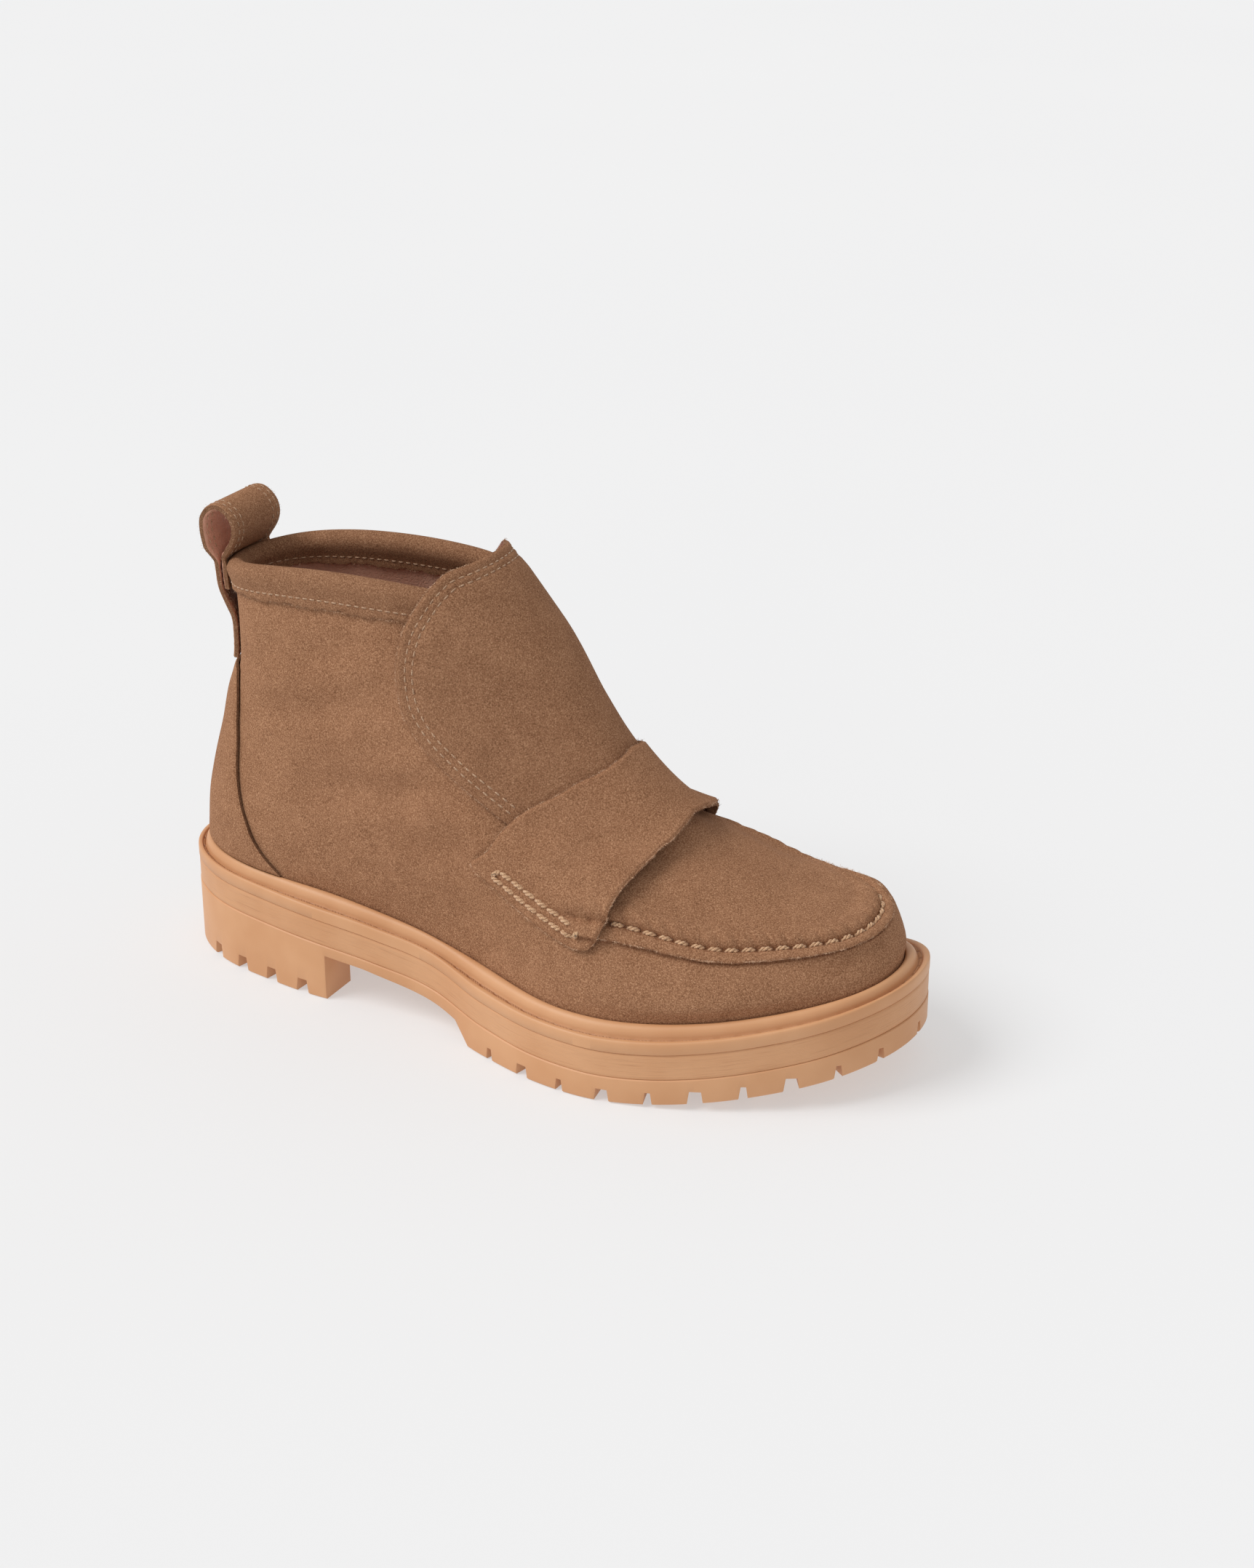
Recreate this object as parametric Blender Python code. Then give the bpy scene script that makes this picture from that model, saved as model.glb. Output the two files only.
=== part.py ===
"""A woman's ankle-high moccasin boot for the right foot: suede upper on a thick lugged rubber sole.

Metres, +Z up. The toe points to +X and the wearer's left, the inner side of the foot, is +Y.
The boot stands on z = 0 and its origin is the middle of its footprint.
"""
from math import pi

import bmesh
import bpy
import numpy as np

# Sole
SOLE_LENGTH = 0.283
BALL_WIDTH = 0.106
HEEL_HEIGHT = 0.0386
FOREPART_HEIGHT = 0.0240
TOE_SPRING = 0.016
HEEL_END_RADIUS = 0.034
TOE_END_RADIUS = 0.044
WELT_THICKNESS = 0.0048
WELT_REACH = 0.0075
BEAD_HEIGHT = 0.0036
RIBBED_BAND = 0.0093
EDGE_ROUNDING = 0.0006
HEEL_LENGTH = 0.075
ARCH_HEIGHT = 0.0176
BREAST_RECESS_DEPTH = 0.008
BREAST_RECESS_WIDTH = 0.040
NOTCH_PITCH = 0.0160
NOTCH_HEIGHT = 0.0047
NOTCH_DEPTH = 0.014
NARROW_NOTCH = 0.0018
WIDE_NOTCH = 0.0040
TOE_LUG = 0.0208
HEEL_NOTCH_PITCH = 0.0148
HEEL_NOTCH_HEIGHT = 0.0055
BREAST_LUG = 0.0105
HEEL_NOTCHES = 4
GROOVES = 5
GROOVE_START = 0.565
GROOVE_LENGTH = 0.009
GROOVE_PITCH = 0.019
GROOVE_DEPTH = 0.0035

# Upper
SHAFT_RISE = 0.1115
WALL = 0.0020
SHOULDER_RISE = 0.0060
SEAM_RISE = 0.0045
FLANGE_STEP = 0.0012
PLUG_ROLL = 0.0018
GAP = 0.00035
LAP_GAP = 0.0005
INSOLE_THICKNESS = 0.0032
BINDING_THICKNESS = 0.0011
PANEL_THICKNESS = 0.0015
STRAP_THICKNESS = 0.0020
STRAP_LIFT = 0.0022
COUNTER_THICKNESS = 0.0014
LOOP_WIDTH = 0.028
LOOP_THICKNESS = 0.0024

# Counts that set how finely the shapes are divided
SIDE_STEPS = 28

# Sole outline from heel to toe: place along the sole as a share of SOLE_LENGTH, then the middle line
# and the half width as shares of half of BALL_WIDTH
SOLE_TABLE = np.array([
    # along, middle, half_width
    (0.042, 0.019, 0.453),
    (0.088, 0.008, 0.591),
    (0.159, -0.015, 0.666),
    (0.247, -0.060, 0.683),
    (0.336, -0.081, 0.653),
    (0.424, -0.083, 0.664),
    (0.512, -0.125, 0.804),
    (0.601, -0.119, 0.947),
    (0.671, -0.092, 1.000),
    (0.742, -0.049, 0.974),
    (0.813, 0.004, 0.891),
    (0.883, 0.068, 0.766),
    (0.933, 0.113, 0.634),
    (0.972, 0.151, 0.443),
])

# Top of the welt: place along the sole, and how much of the heel's extra height is left there
SHELF_TABLE = np.array([
    # along, extra
    (0.0, 1.0), (0.141, 0.93), (0.265, 0.795), (0.371, 0.53),
    (0.477, 0.19), (0.565, 0.05), (0.661, 0.0), (1.0, 0.0),
])

# Underside of the arch: place along the sole, and height as a share of ARCH_HEIGHT
ARCH_TABLE = np.array([
    # along, height
    (0.320, 0.90), (0.395, 0.68), (0.463, 0.455), (0.494, -0.10),
])

# Rings of the upper from the welt to above the collar. Lengths along the foot are shares of SOLE_LENGTH,
# rises above the welt are shares of SHAFT_RISE, widths, middles and end radii are shares of half of
# BALL_WIDTH, and follow is how closely the ring keeps to the curve of the welt.
RING_STATIONS = np.array([0.10, 0.28, 0.46, 0.64, 0.80, 0.92])
MIDDLE_STATIONS = np.array([0.28, 0.64, 0.92])
RING_TABLE = np.array([
    # back, front, back_rise, front_rise, crown, w10, w28, w46, w64, w80, w92, m28, m64, m92, r_back, r_front, follow
    (.029, .972, .103, .072, 0, .502, .557, .570, .845, .850, .620, -.062, -.087, .114, .528, .698, .90),
    (.032, .959, .179, .126, 0, .502, .564, .594, .853, .820, .610, -.057, -.042, .139, .509, .698, .70),
    (.035, .947, .233, .157, 0, .498, .570, .606, .785, .730, .536, -.047, -.067, .098, .509, .679, .55),
    (.044, .908, .332, .186, 0, .483, .572, .617, .735, .650, .460, -.028, -.060, .094, .491, .623, .25),
    (.057, .835, .448, .212, 0, .462, .572, .623, .690, .565, .380, -.013, -.038, .075, .472, .453, 0),
    (.067, .725, .556, .300, 0, .443, .574, .615, .640, .500, .320, .000, -.023, .057, .453, .377, 0),
    (.083, .624, .673, .520, 0, .430, .555, .591, .575, .445, .283, .000, -.011, .038, .453, .358, 0),
    (.085, .548, .807, .789, 0, .400, .513, .543, .521, .415, .283, -.006, .000, .019, .430, .358, 0),
    (.080, .472, .981, 1.011, .049, .340, .430, .442, .438, .406, .302, -.025, -.025, 0, .377, .377, 0),
    (.078, .432, 1.085, 1.109, .049, .340, .430, .442, .438, .406, .302, -.025, -.025, 0, .377, .377, 0),
])
RIM = 10.0

# The inner side of the toe box stands higher than the outer side, most of all at its shoulder and, further
# back, at the seam: level, and rises as shares of SHOULDER_RISE and SEAM_RISE
INNER_SIDE_TABLE = np.array([
    # level, shoulder, seam
    (1.4, 0.0, 0.0), (2.2, 0.5, 0.1), (3.0, 1.0, 0.6), (3.6, 0.8, 0.8), (4.2, 0.1, 1.0), (5.0, 0.0, 0.7),
    (6.0, 0.0, 0.35), (7.5, 0.0, 0.0),
])

# The moccasin seam runs along level SEAM of the rings and climbs where it goes back under the strap.
SEAM = 4.2
SEAM_CLIMB = 0.55
# Relief across the seam: level above the seam, and height as shares of FLANGE_STEP and PLUG_ROLL
SEAM_TABLE = np.array([
    # level, flange, roll
    (-0.50, 0.0, 0.0), (-0.47, 0.9, 0.0), (-0.10, 1.0, 0.0), (0.0, 0.2, 0.0),
    (0.10, 0.0, 0.65), (0.30, 0.0, 1.0), (0.55, 0.0, 0.7), (0.90, 0.0, 0.15), (1.30, 0.0, 0.0),
])
OUTER_LEVELS = (0, .5, 1, 1.7, 2.4, 3.1, 3.6, 3.70, 3.73, 4.1, 4.2, 4.3, 4.5, 4.75, 5.1,
                5.6, 6.1, 6.6, 7.0, 7.3, 7.6, 7.9, 8.3, 8.7, 9.15, 9.6, RIM)
INNER_LEVELS = (RIM, 9.2, 8.4, 7.6, 6.6, 5.5, 4.4, 3.0, 1.5, 0)

# Oval tongue panel: share of its length from the top, level of its edge, half span and rise of its middle
PANEL_TABLE = np.array([
    # share, level, half_span, middle_rise
    (0.00, 10.80, .115, .15), (0.08, 10.60, .190, .12), (0.17, 10.28, .248, .08), (0.27, 9.90, .312, .03),
    (0.38, 9.48, .384, 0), (0.50, 8.98, .432, 0), (0.60, 8.45, .448, .08), (0.70, 7.93, .434, .35),
    (0.82, 7.25, .385, .80), (1.00, 6.40, .350, 1.20),
])

# Saddle strap from its middle to its end: levels and places of its rear and its front edge
STRAP_TABLE = np.array([
    # share, rear_level, rear_place, front_level, front_place
    (0.0, 8.12, .000, 7.28, .000), (0.25, 7.98, .120, 7.10, .105), (0.50, 7.68, .245, 6.62, .215),
    (0.75, 7.00, .372, 5.54, .325), (1.0, 5.22, .497, 3.49, .391),
])
STRAP_SEATED = 0.93
STRAP_RAISED = 0.80

# Front edge of the heel counter: level, and place round the ring
COUNTER_TABLE = np.array([
    # level, place
    (1.03, .730), (2.46, .772), (3.87, .794), (5.04, .817), (6.27, .833), (7.30, .842), (7.85, .870),
])

# Pull loop seen from the side, from the end of its front leg over the top to the end of its rear leg.
# Reach is measured forward from where a leg lies on the shaft and height from the rim, as shares of LOOP_SIZE.
LOOP_SIZE = 0.025
LOOP_TABLE = np.array([
    # reach, height
    (-.065, -.34), (-.065, -.04), (-.02, .10), (.14, .22), (.26, .40), (.29, .58), (.22, .74), (.05, .85),
    (-.12, .81), (-.24, .66), (-.25, .44), (-.20, .18), (-.19, -.10), (-.180, -.34), (-.100, -.56),
    (-.010, -.78), (.000, -1.06), (.000, -1.36),
])


def smooth(places, values, at):
    """Cubic curve through the given values, which may be rows of several columns."""
    places, values, at = (np.asarray(item, float) for item in (places, values, at))
    flat = values.ndim == 1
    values = values.reshape(len(places), -1)
    width = np.diff(places)[:, None]
    slope = np.diff(values, axis=0) / width
    inner = (slope[:-1] * width[1:] + slope[1:] * width[:-1]) / (width[1:] + width[:-1])
    first = 1.5 * slope[:1] - 0.5 * inner[:1]
    last = 1.5 * slope[-1:] - 0.5 * inner[-1:]
    tangent = np.vstack([first, inner, last])
    index = np.clip(np.searchsorted(places, at, side="right") - 1, 0, len(places) - 2)
    step = width[index]
    t = ((at - places[index]))[..., None] / step
    result = (values[index] * (2 * t**3 - 3 * t**2 + 1) + tangent[index] * step * (t**3 - 2 * t**2 + t)
              + values[index + 1] * (3 * t**2 - 2 * t**3) + tangent[index + 1] * step * (t**3 - t**2))
    return result[..., 0] if flat else result


def ease(value, start, end):
    """0 at start, 1 at end, with soft ends."""
    t = np.clip((np.asarray(value, float) - start) / (end - start), 0, 1)
    return t * t * (3 - 2 * t)


def turn_of(share):
    """Where a share of a ring's length lies on its half turn from back (0) to front (1)."""
    return np.arccos(np.clip(1 - 2 * np.asarray(share, float), -1, 1)) / pi


HALF_BALL = BALL_WIDTH / 2
SOLE_TURNS = np.r_[0, turn_of(SOLE_TABLE[:, 0]), 1]
SOLE_FULLNESS = np.r_[
    (HEEL_END_RADIUS * SOLE_LENGTH / 2) ** 0.5,
    SOLE_TABLE[:, 2] * HALF_BALL / np.sin(pi * SOLE_TURNS[1:-1]),
    (TOE_END_RADIUS * SOLE_LENGTH / 2) ** 0.5,
]
SOLE_MIDDLE = np.r_[SOLE_TABLE[0, 1], SOLE_TABLE[:, 1], SOLE_TABLE[-1, 1]] * HALF_BALL


def sole_half(turn):
    return smooth(SOLE_TURNS, SOLE_FULLNESS, turn) * np.sin(pi * turn)


def sole_middle(turn):
    return smooth(SOLE_TURNS, SOLE_MIDDLE, turn)


def sole_along(turn):
    return SOLE_LENGTH * (1 - np.cos(pi * turn)) / 2


def spring(x):
    """Height of the tread above the floor: the toe springs up ahead of the ball."""
    start = SHELF_TABLE[-2, 0]
    return TOE_SPRING * np.clip((x / SOLE_LENGTH - start) / (1 - start), 0, None) ** 2


def shelf(x):
    """Height of the top of the welt."""
    extra = smooth(SHELF_TABLE[:, 0], SHELF_TABLE[:, 1], x / SOLE_LENGTH)
    return FOREPART_HEIGHT + (HEEL_HEIGHT - FOREPART_HEIGHT) * extra + spring(x)


def around():
    """Places round a ring: from the back along the outer side to the toe and back on the inner side."""
    outer = np.linspace(-1, 0, SIDE_STEPS + 1)
    return np.r_[outer, np.linspace(0, 1, SIDE_STEPS + 1)[1:-1]]


def sole_edge(place, inset=0.0):
    """Point on the sole's outline. A place runs from -1 at the heel over 0 at the toe to 1 at the heel."""
    place = np.asarray(place, float)

    def point(at):
        at = (at + 1) % 2 - 1
        turn = 1 - np.abs(at)
        return np.stack([sole_along(turn), sole_middle(turn) + np.sign(at) * sole_half(turn)], -1)

    step = 1e-4
    tangent = point(place + step) - point(place - step)
    tangent /= np.linalg.norm(tangent, axis=-1)[..., None]
    inward = np.stack([-tangent[..., 1], tangent[..., 0]], -1)
    return point(place) + inward * inset, inward


def feather_row(rise):
    """Ring where the upper meets the sole, WELT_REACH inside the sole's edge."""
    back = WELT_REACH
    front = SOLE_LENGTH - WELT_REACH
    along = (back + (front - back) * RING_STATIONS) / SOLE_LENGTH
    turn = turn_of(along)
    step = 1e-3
    flare = (sole_half(turn + step) - sole_half(turn - step)) / (sole_along(turn + step) - sole_along(turn - step))
    widths = sole_half(turn) - WELT_REACH * np.sqrt(1 + flare**2)
    middles = sole_middle(turn_of((back + (front - back) * MIDDLE_STATIONS) / SOLE_LENGTH))
    return [back, front, rise, rise, 0, *widths, *middles, HEEL_END_RADIUS - WELT_REACH,
            TOE_END_RADIUS - WELT_REACH, 1]


RING_UNITS = np.array([SOLE_LENGTH] * 2 + [SHAFT_RISE] * 3 + [HALF_BALL] * 11 + [1])
RINGS = np.vstack([feather_row(-WELT_THICKNESS), feather_row(BEAD_HEIGHT + GAP), RING_TABLE * RING_UNITS])
RING_TURNS = np.r_[0, turn_of(RING_STATIONS), 1]
MIDDLE_TURNS = turn_of(np.r_[0, MIDDLE_STATIONS, 1])


def inner_side_rise(level, place):
    """How much higher the inner side of the toe box stands."""
    levels, shoulder, seam = INNER_SIDE_TABLE.T
    behind = 1 - ease(place, 0.42, 0.62)
    rise = SHOULDER_RISE * ease(place, 0.05, 0.17) * np.interp(level, levels, shoulder)
    return (rise + SEAM_RISE * ease(place, 0.22, 0.33) * np.interp(level, levels, seam)) * behind


def surface(level, place):
    """Point on the smooth upper. Level counts the rings up from the feather edge, place goes round."""
    level, place = np.broadcast_arrays(np.asarray(level, float), np.asarray(place, float))
    shape = level.shape
    level = level.ravel()
    place = (place.ravel() + 1) % 2 - 1
    row = smooth(np.arange(len(RINGS)), RINGS, level)
    back, front, back_rise, front_rise, crown = row[:, :5].T
    length = front - back
    turn = 1 - np.abs(place)
    fullness = np.column_stack([
        np.sqrt(row[:, 14] * length / 2),
        row[:, 5:11] / np.sin(pi * RING_TURNS[1:-1]),
        np.sqrt(row[:, 15] * length / 2),
    ])
    middle = np.column_stack([0 * back, row[:, 11:14], row[:, 13]])
    half = (smooth(RING_TURNS, np.eye(8), turn) * fullness).sum(1) * np.sin(pi * turn)
    share = (1 - np.cos(pi * turn)) / 2
    x = back + length * share
    y = (smooth(MIDDLE_TURNS, np.eye(5), turn) * middle).sum(1) + np.sign(place) * half
    straight = HEEL_HEIGHT * (1 - x / SOLE_LENGTH) + (FOREPART_HEIGHT + TOE_SPRING) * x / SOLE_LENGTH
    base = row[:, 16] * shelf(x) + (1 - row[:, 16]) * straight
    z = base + back_rise + (front_rise - back_rise) * share + crown * 4 * share * (1 - share)
    z = z + inner_side_rise(level, place)
    return np.stack([x, y, z], -1).reshape(shape + (3,))


def outward(level, place):
    """Unit normal of the smooth upper, pointing out of the boot."""
    step = 1e-3
    up = surface(level + step, place) - surface(level - step, place)
    along = surface(level, place + step) - surface(level, place - step)
    normal = np.cross(along, up)
    return normal / np.linalg.norm(normal, axis=-1)[..., None]


def seam_level(place):
    return SEAM + SEAM_CLIMB * ease(np.abs(place), 0.24, 0.36)


def relief(level, place):
    """Height of the flange and of the rolled plug edge at the moccasin seam, which ends under the strap."""
    rows = SEAM_TABLE
    heights = rows[:, 1] * FLANGE_STEP + rows[:, 2] * PLUG_ROLL
    return np.interp(level - seam_level(place), rows[:, 0], heights) * (1 - ease(np.abs(place), 0.37, 0.42))


def skin(level, place, offset=0.0):
    """Point on the outside of the upper with its seam relief, moved outward by an offset."""
    level, place = np.broadcast_arrays(np.asarray(level, float), np.asarray(place, float))
    height = relief(level, place) + offset
    return surface(level, place) + outward(level, place) * np.asarray(height)[..., None]


def ring_level(level, place):
    """Level of a mesh ring, which bends with the seam near it."""
    bend = ease(level, 2.3, 3.6) * (1 - ease(level, 5.1, 6.2))
    return level + (seam_level(place) - SEAM) * bend


def footprint_middle():
    edge, _ = sole_edge(around())
    return np.r_[(edge.min(0) + edge.max(0)) / 2, 0]


ORIGIN = footprint_middle()


def material(name, colour, roughness):
    item = bpy.data.materials.new(name)
    item.use_nodes = True
    shader = item.node_tree.nodes["Principled BSDF"]
    shader.inputs["Base Color"].default_value = (*colour, 1)
    shader.inputs["Roughness"].default_value = roughness
    item.diffuse_color = (*colour, 1)
    return item


def add_mesh(name, points, faces, look, collection):
    """One closed body from points and faces, with its faces turned outward."""
    mesh = bpy.data.meshes.new(name)
    mesh.from_pydata([tuple(point - ORIGIN) for point in points], [], faces)
    body = bmesh.new()
    body.from_mesh(mesh)
    bmesh.ops.recalc_face_normals(body, faces=body.faces)
    body.to_mesh(mesh)
    body.free()
    if look:
        mesh.materials.append(look)
        mesh.shade_smooth()
        mesh.set_sharp_from_angle(angle=pi / 5)
    item = bpy.data.objects.new(name, mesh)
    collection.objects.link(item)
    return item


def add_rings(name, rings, look, collection, hollow):
    """Solid from rings of points: hollow joins the last ring to the first, otherwise both ends are capped."""
    count = len(rings[0])
    faces = []
    for k in range(len(rings) if hollow else len(rings) - 1):
        low = k * count
        high = (k + 1) % len(rings) * count
        for i in range(count):
            j = (i + 1) % count
            faces.append((low + i, low + j, high + j, high + i))
    if not hollow:
        for start in (0, (len(rings) - 1) * count):
            for i in range(count // 2):
                corners = (i, i + 1, (count - i - 1) % count, (count - i) % count)
                faces.append([start + corner for corner in dict.fromkeys(corners)])
    return add_mesh(name, np.vstack(rings), faces, look, collection)


def add_slab(name, inner, outer, look, collection):
    """Closed sheet between two grids of points."""
    rows, columns = inner.shape[:2]
    size = rows * columns
    faces = []
    for i in range(rows - 1):
        for j in range(columns - 1):
            a = i * columns + j
            quad = (a, a + 1, a + columns + 1, a + columns)
            faces.append(quad)
            faces.append([size + corner for corner in quad[::-1]])
    border = list(range(columns))
    border += [i * columns + columns - 1 for i in range(1, rows)]
    border += [(rows - 1) * columns + j for j in range(columns - 2, -1, -1)]
    border += [i * columns for i in range(rows - 2, 0, -1)]
    for a, b in zip(border, border[1:] + border[:1]):
        faces.append((b, a, size + a, size + b))
    return add_mesh(name, np.vstack([inner.reshape(-1, 3), outer.reshape(-1, 3)]), faces, look, collection)


def add_prism(body, corners, start, end, origin, across, along):
    """Prism in a bmesh from corners of (across, up), run from start to end along a level direction."""
    across = np.r_[across, 0]
    along = np.r_[along, 0]
    ends = []
    for reach in (start, end):
        points = [origin + across * a + np.array([0, 0, up]) + along * reach - ORIGIN for a, up in corners]
        ends.append([body.verts.new(point) for point in points])
    near, far = ends
    body.faces.new(near)
    body.faces.new(far[::-1])
    for i in range(len(near)):
        j = (i + 1) % len(near)
        body.faces.new((near[j], near[i], far[i], far[j]))


def band(heights, insets, place):
    """Rings of a sole layer, each at a height function and an inset from the sole's edge."""
    rings = []
    for height, inset in zip(heights, insets):
        edge, _ = sole_edge(place, inset)
        rings.append(np.column_stack([edge, height(edge[:, 0])]))
    return rings


def first_seam(x):
    """Underside of the welt."""
    return shelf(x) - WELT_THICKNESS


def second_seam(x):
    """Underside of the ribbed band."""
    return first_seam(x) - RIBBED_BAND


def place_from_toe(distance, side):
    """Place on one side of the outline at a distance from the toe tip, measured along the edge."""
    places = np.linspace(0, 1, 801) * side
    points, _ = sole_edge(places)
    run = np.r_[0, np.cumsum(np.linalg.norm(np.diff(points, axis=0), axis=1))]
    return np.interp(distance, run, places)


def breast_distance(side):
    """Distance from the toe tip to the heel breast along one side of the edge."""
    places = np.linspace(0, 1, 801) * side
    points, _ = sole_edge(places)
    run = np.r_[0, np.cumsum(np.linalg.norm(np.diff(points, axis=0), axis=1))]
    return np.interp(-HEEL_LENGTH, -points[:, 0], run)


def add_notch(body, place, width, height):
    """Cut for one side notch, wider at the floor, running in from the edge."""
    edge, inward = sole_edge(np.array([place]))
    edge, inward = edge[0], inward[0]
    across = np.array([-inward[1], inward[0]])
    floor = spring(edge[0])
    flare = 0.15 * height
    below = -2 * height
    corners = [(-width / 2 - 3 * flare, below), (width / 2 + 3 * flare, below), (width / 2, height),
               (-width / 2, height)]
    add_prism(body, corners, -NOTCH_DEPTH / 4, NOTCH_DEPTH, np.r_[edge, floor], across, inward)


def add_arch(body):
    """Cut under the arch, from the heel breast to the first lug of the forepart."""
    depth = -0.5 * ARCH_HEIGHT
    corners = [(HEEL_LENGTH, depth), (HEEL_LENGTH, ARCH_HEIGHT)]
    spots = np.linspace(ARCH_TABLE[0, 0], ARCH_TABLE[-2, 0], 7)
    heights = smooth(ARCH_TABLE[:-1, 0], ARCH_TABLE[:-1, 1], spots)
    corners += [(x * SOLE_LENGTH, h * ARCH_HEIGHT) for x, h in zip(spots, heights)]
    corners += [(ARCH_TABLE[-1, 0] * SOLE_LENGTH, ARCH_TABLE[-1, 1] * ARCH_HEIGHT)]
    corners += [(ARCH_TABLE[-1, 0] * SOLE_LENGTH, depth)]
    add_prism(body, corners, -BALL_WIDTH, BALL_WIDTH, np.zeros(3), np.array([1.0, 0.0]), np.array([0.0, 1.0]))


def add_breast_recess(body):
    half = BREAST_RECESS_WIDTH / 2
    middle = sole_middle(turn_of(HEEL_LENGTH / SOLE_LENGTH))
    corners = [(-half, -ARCH_HEIGHT), (half, -ARCH_HEIGHT), (half, ARCH_HEIGHT), (-half, ARCH_HEIGHT)]
    origin = np.array([HEEL_LENGTH, middle, 0.0])
    ahead = BREAST_RECESS_DEPTH / 8
    add_prism(body, corners, -BREAST_RECESS_DEPTH, ahead, origin, np.array([0.0, 1.0]), np.array([1.0, 0.0]))


def add_heel_notches(body):
    for side in (-1, 1):
        breast_run = breast_distance(side)
        for k in range(HEEL_NOTCHES):
            place = place_from_toe(breast_run + BREAST_LUG + k * HEEL_NOTCH_PITCH, side)
            add_notch(body, place, WIDE_NOTCH, HEEL_NOTCH_HEIGHT)


def add_fore_notches(body):
    """Side notches round the forepart: wide and narrow in turn, but narrow ones only at the toe."""
    for side in (-1, 1):
        run = TOE_LUG
        wide = False
        first_lug = ARCH_TABLE[-1, 0] * SOLE_LENGTH + NARROW_NOTCH * 2
        while sole_edge(place_from_toe(run, side))[0][0] > first_lug:
            add_notch(body, place_from_toe(run, side), WIDE_NOTCH if wide else NARROW_NOTCH, NOTCH_HEIGHT)
            wide = not wide and run > TOE_LUG
            run += NOTCH_PITCH
    add_notch(body, 0.0, NARROW_NOTCH, NOTCH_HEIGHT)


def add_grooves(body):
    """Cross grooves in the middle of the forepart, between the side notches."""
    half = GROOVE_LENGTH / 2
    for k in range(GROOVES):
        x = SOLE_LENGTH * GROOVE_START + k * GROOVE_PITCH
        turn = turn_of(x / SOLE_LENGTH)
        reach = sole_half(turn) - NOTCH_DEPTH - 2 * WIDE_NOTCH
        corners = [(-half, -GROOVE_DEPTH), (half, -GROOVE_DEPTH), (half, GROOVE_DEPTH), (-half, GROOVE_DEPTH)]
        origin = np.array([x, sole_middle(turn), spring(x)])
        add_prism(body, corners, -reach, reach, origin, np.array([1.0, 0.0]), np.array([0.0, 1.0]))


def make_cutters(collection):
    """The arch, the breast recess, the side notches and the cross grooves, each as a wire cutter."""
    cutters = []
    for add in (add_arch, add_breast_recess, add_heel_notches, add_fore_notches, add_grooves):
        body = bmesh.new()
        add(body)
        bmesh.ops.recalc_face_normals(body, faces=body.faces)
        name = add.__name__.replace("add_", "") + "_cutter"
        mesh = bpy.data.meshes.new(name)
        body.to_mesh(mesh)
        body.free()
        item = bpy.data.objects.new(name, mesh)
        item.hide_render = True
        item.display_type = "WIRE"
        collection.objects.link(item)
        cutters.append(item)
    return cutters


def make_sole(looks, parts, cutter_collection):
    place = around()
    rounding = EDGE_ROUNDING
    heights = (
        spring,
        lambda x: spring(x) + rounding,
        lambda x: second_seam(x) - GAP - rounding,
        lambda x: second_seam(x) - GAP,
    )
    rings = band(heights, (rounding, 0, 0, rounding), place)
    outsole = add_rings("outsole", rings, looks["rubber"], parts, False)
    for cutter in make_cutters(cutter_collection):
        cut = outsole.modifiers.new(cutter.name, "BOOLEAN")
        cut.operation = "DIFFERENCE"
        cut.object = cutter

    heights = (
        second_seam,
        lambda x: second_seam(x) + rounding,
        lambda x: first_seam(x) - GAP - rounding,
        lambda x: first_seam(x) - GAP,
    )
    rings = band(heights, (rounding, 0, 0, rounding), place)
    add_rings("midsole", rings, looks["rubber"], parts, False)


# Section of the welt from its outer lower corner over the lip, the stitch channel and the bead to the
# upper: share of the way from the sole's edge to the upper, and height as a share of BEAD_HEIGHT
WELT_SECTION = (
    (0.0, -0.28), (0.05, -0.06), (0.14, 0.0), (0.24, 0.0), (0.29, -0.28), (0.46, -0.28),
    (0.52, 0.15), (0.60, 0.66), (0.72, 0.94), (0.87, 1.0), (1.0, 0.90),
)


def make_welt(look, parts):
    place = around()
    edge, _ = sole_edge(place)
    outer = np.column_stack([edge, shelf(edge[:, 0])])
    drop = np.array([0, 0, WELT_THICKNESS])
    foot = skin(0.0, place, GAP)
    middle = skin(0.5, place, GAP)
    top = skin(0.9, place, GAP)
    rings = [outer - drop]
    for share, height in WELT_SECTION[:-1]:
        point = outer + (middle - outer) * share
        point[:, 2] = shelf(point[:, 0]) + height * BEAD_HEIGHT
        rings.append(point)
    top[:, 2] = shelf(top[:, 0]) + WELT_SECTION[-1][1] * BEAD_HEIGHT
    rings += [top, middle, foot]
    add_rings("welt", rings, look, parts, True)


def make_upper(look, parts):
    place = around()
    rings = [skin(ring_level(level, place), place) for level in OUTER_LEVELS]
    for level in INNER_LEVELS:
        bent = ring_level(level, place)
        rings.append(surface(bent, place) - outward(bent, place) * WALL)
    rings[-1][:, 2] = first_seam(rings[-1][:, 0])
    add_rings("upper", rings, look, parts, True)


def make_insole(look, parts):
    place = around()
    foot = surface(0.0, place) - outward(0.0 * place, place) * (WALL + GAP)
    foot[:, 2] = first_seam(foot[:, 0])
    rings = [foot, foot + np.array([0, 0, INSOLE_THICKNESS])]
    add_rings("insole", rings, look, parts, False)


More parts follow.
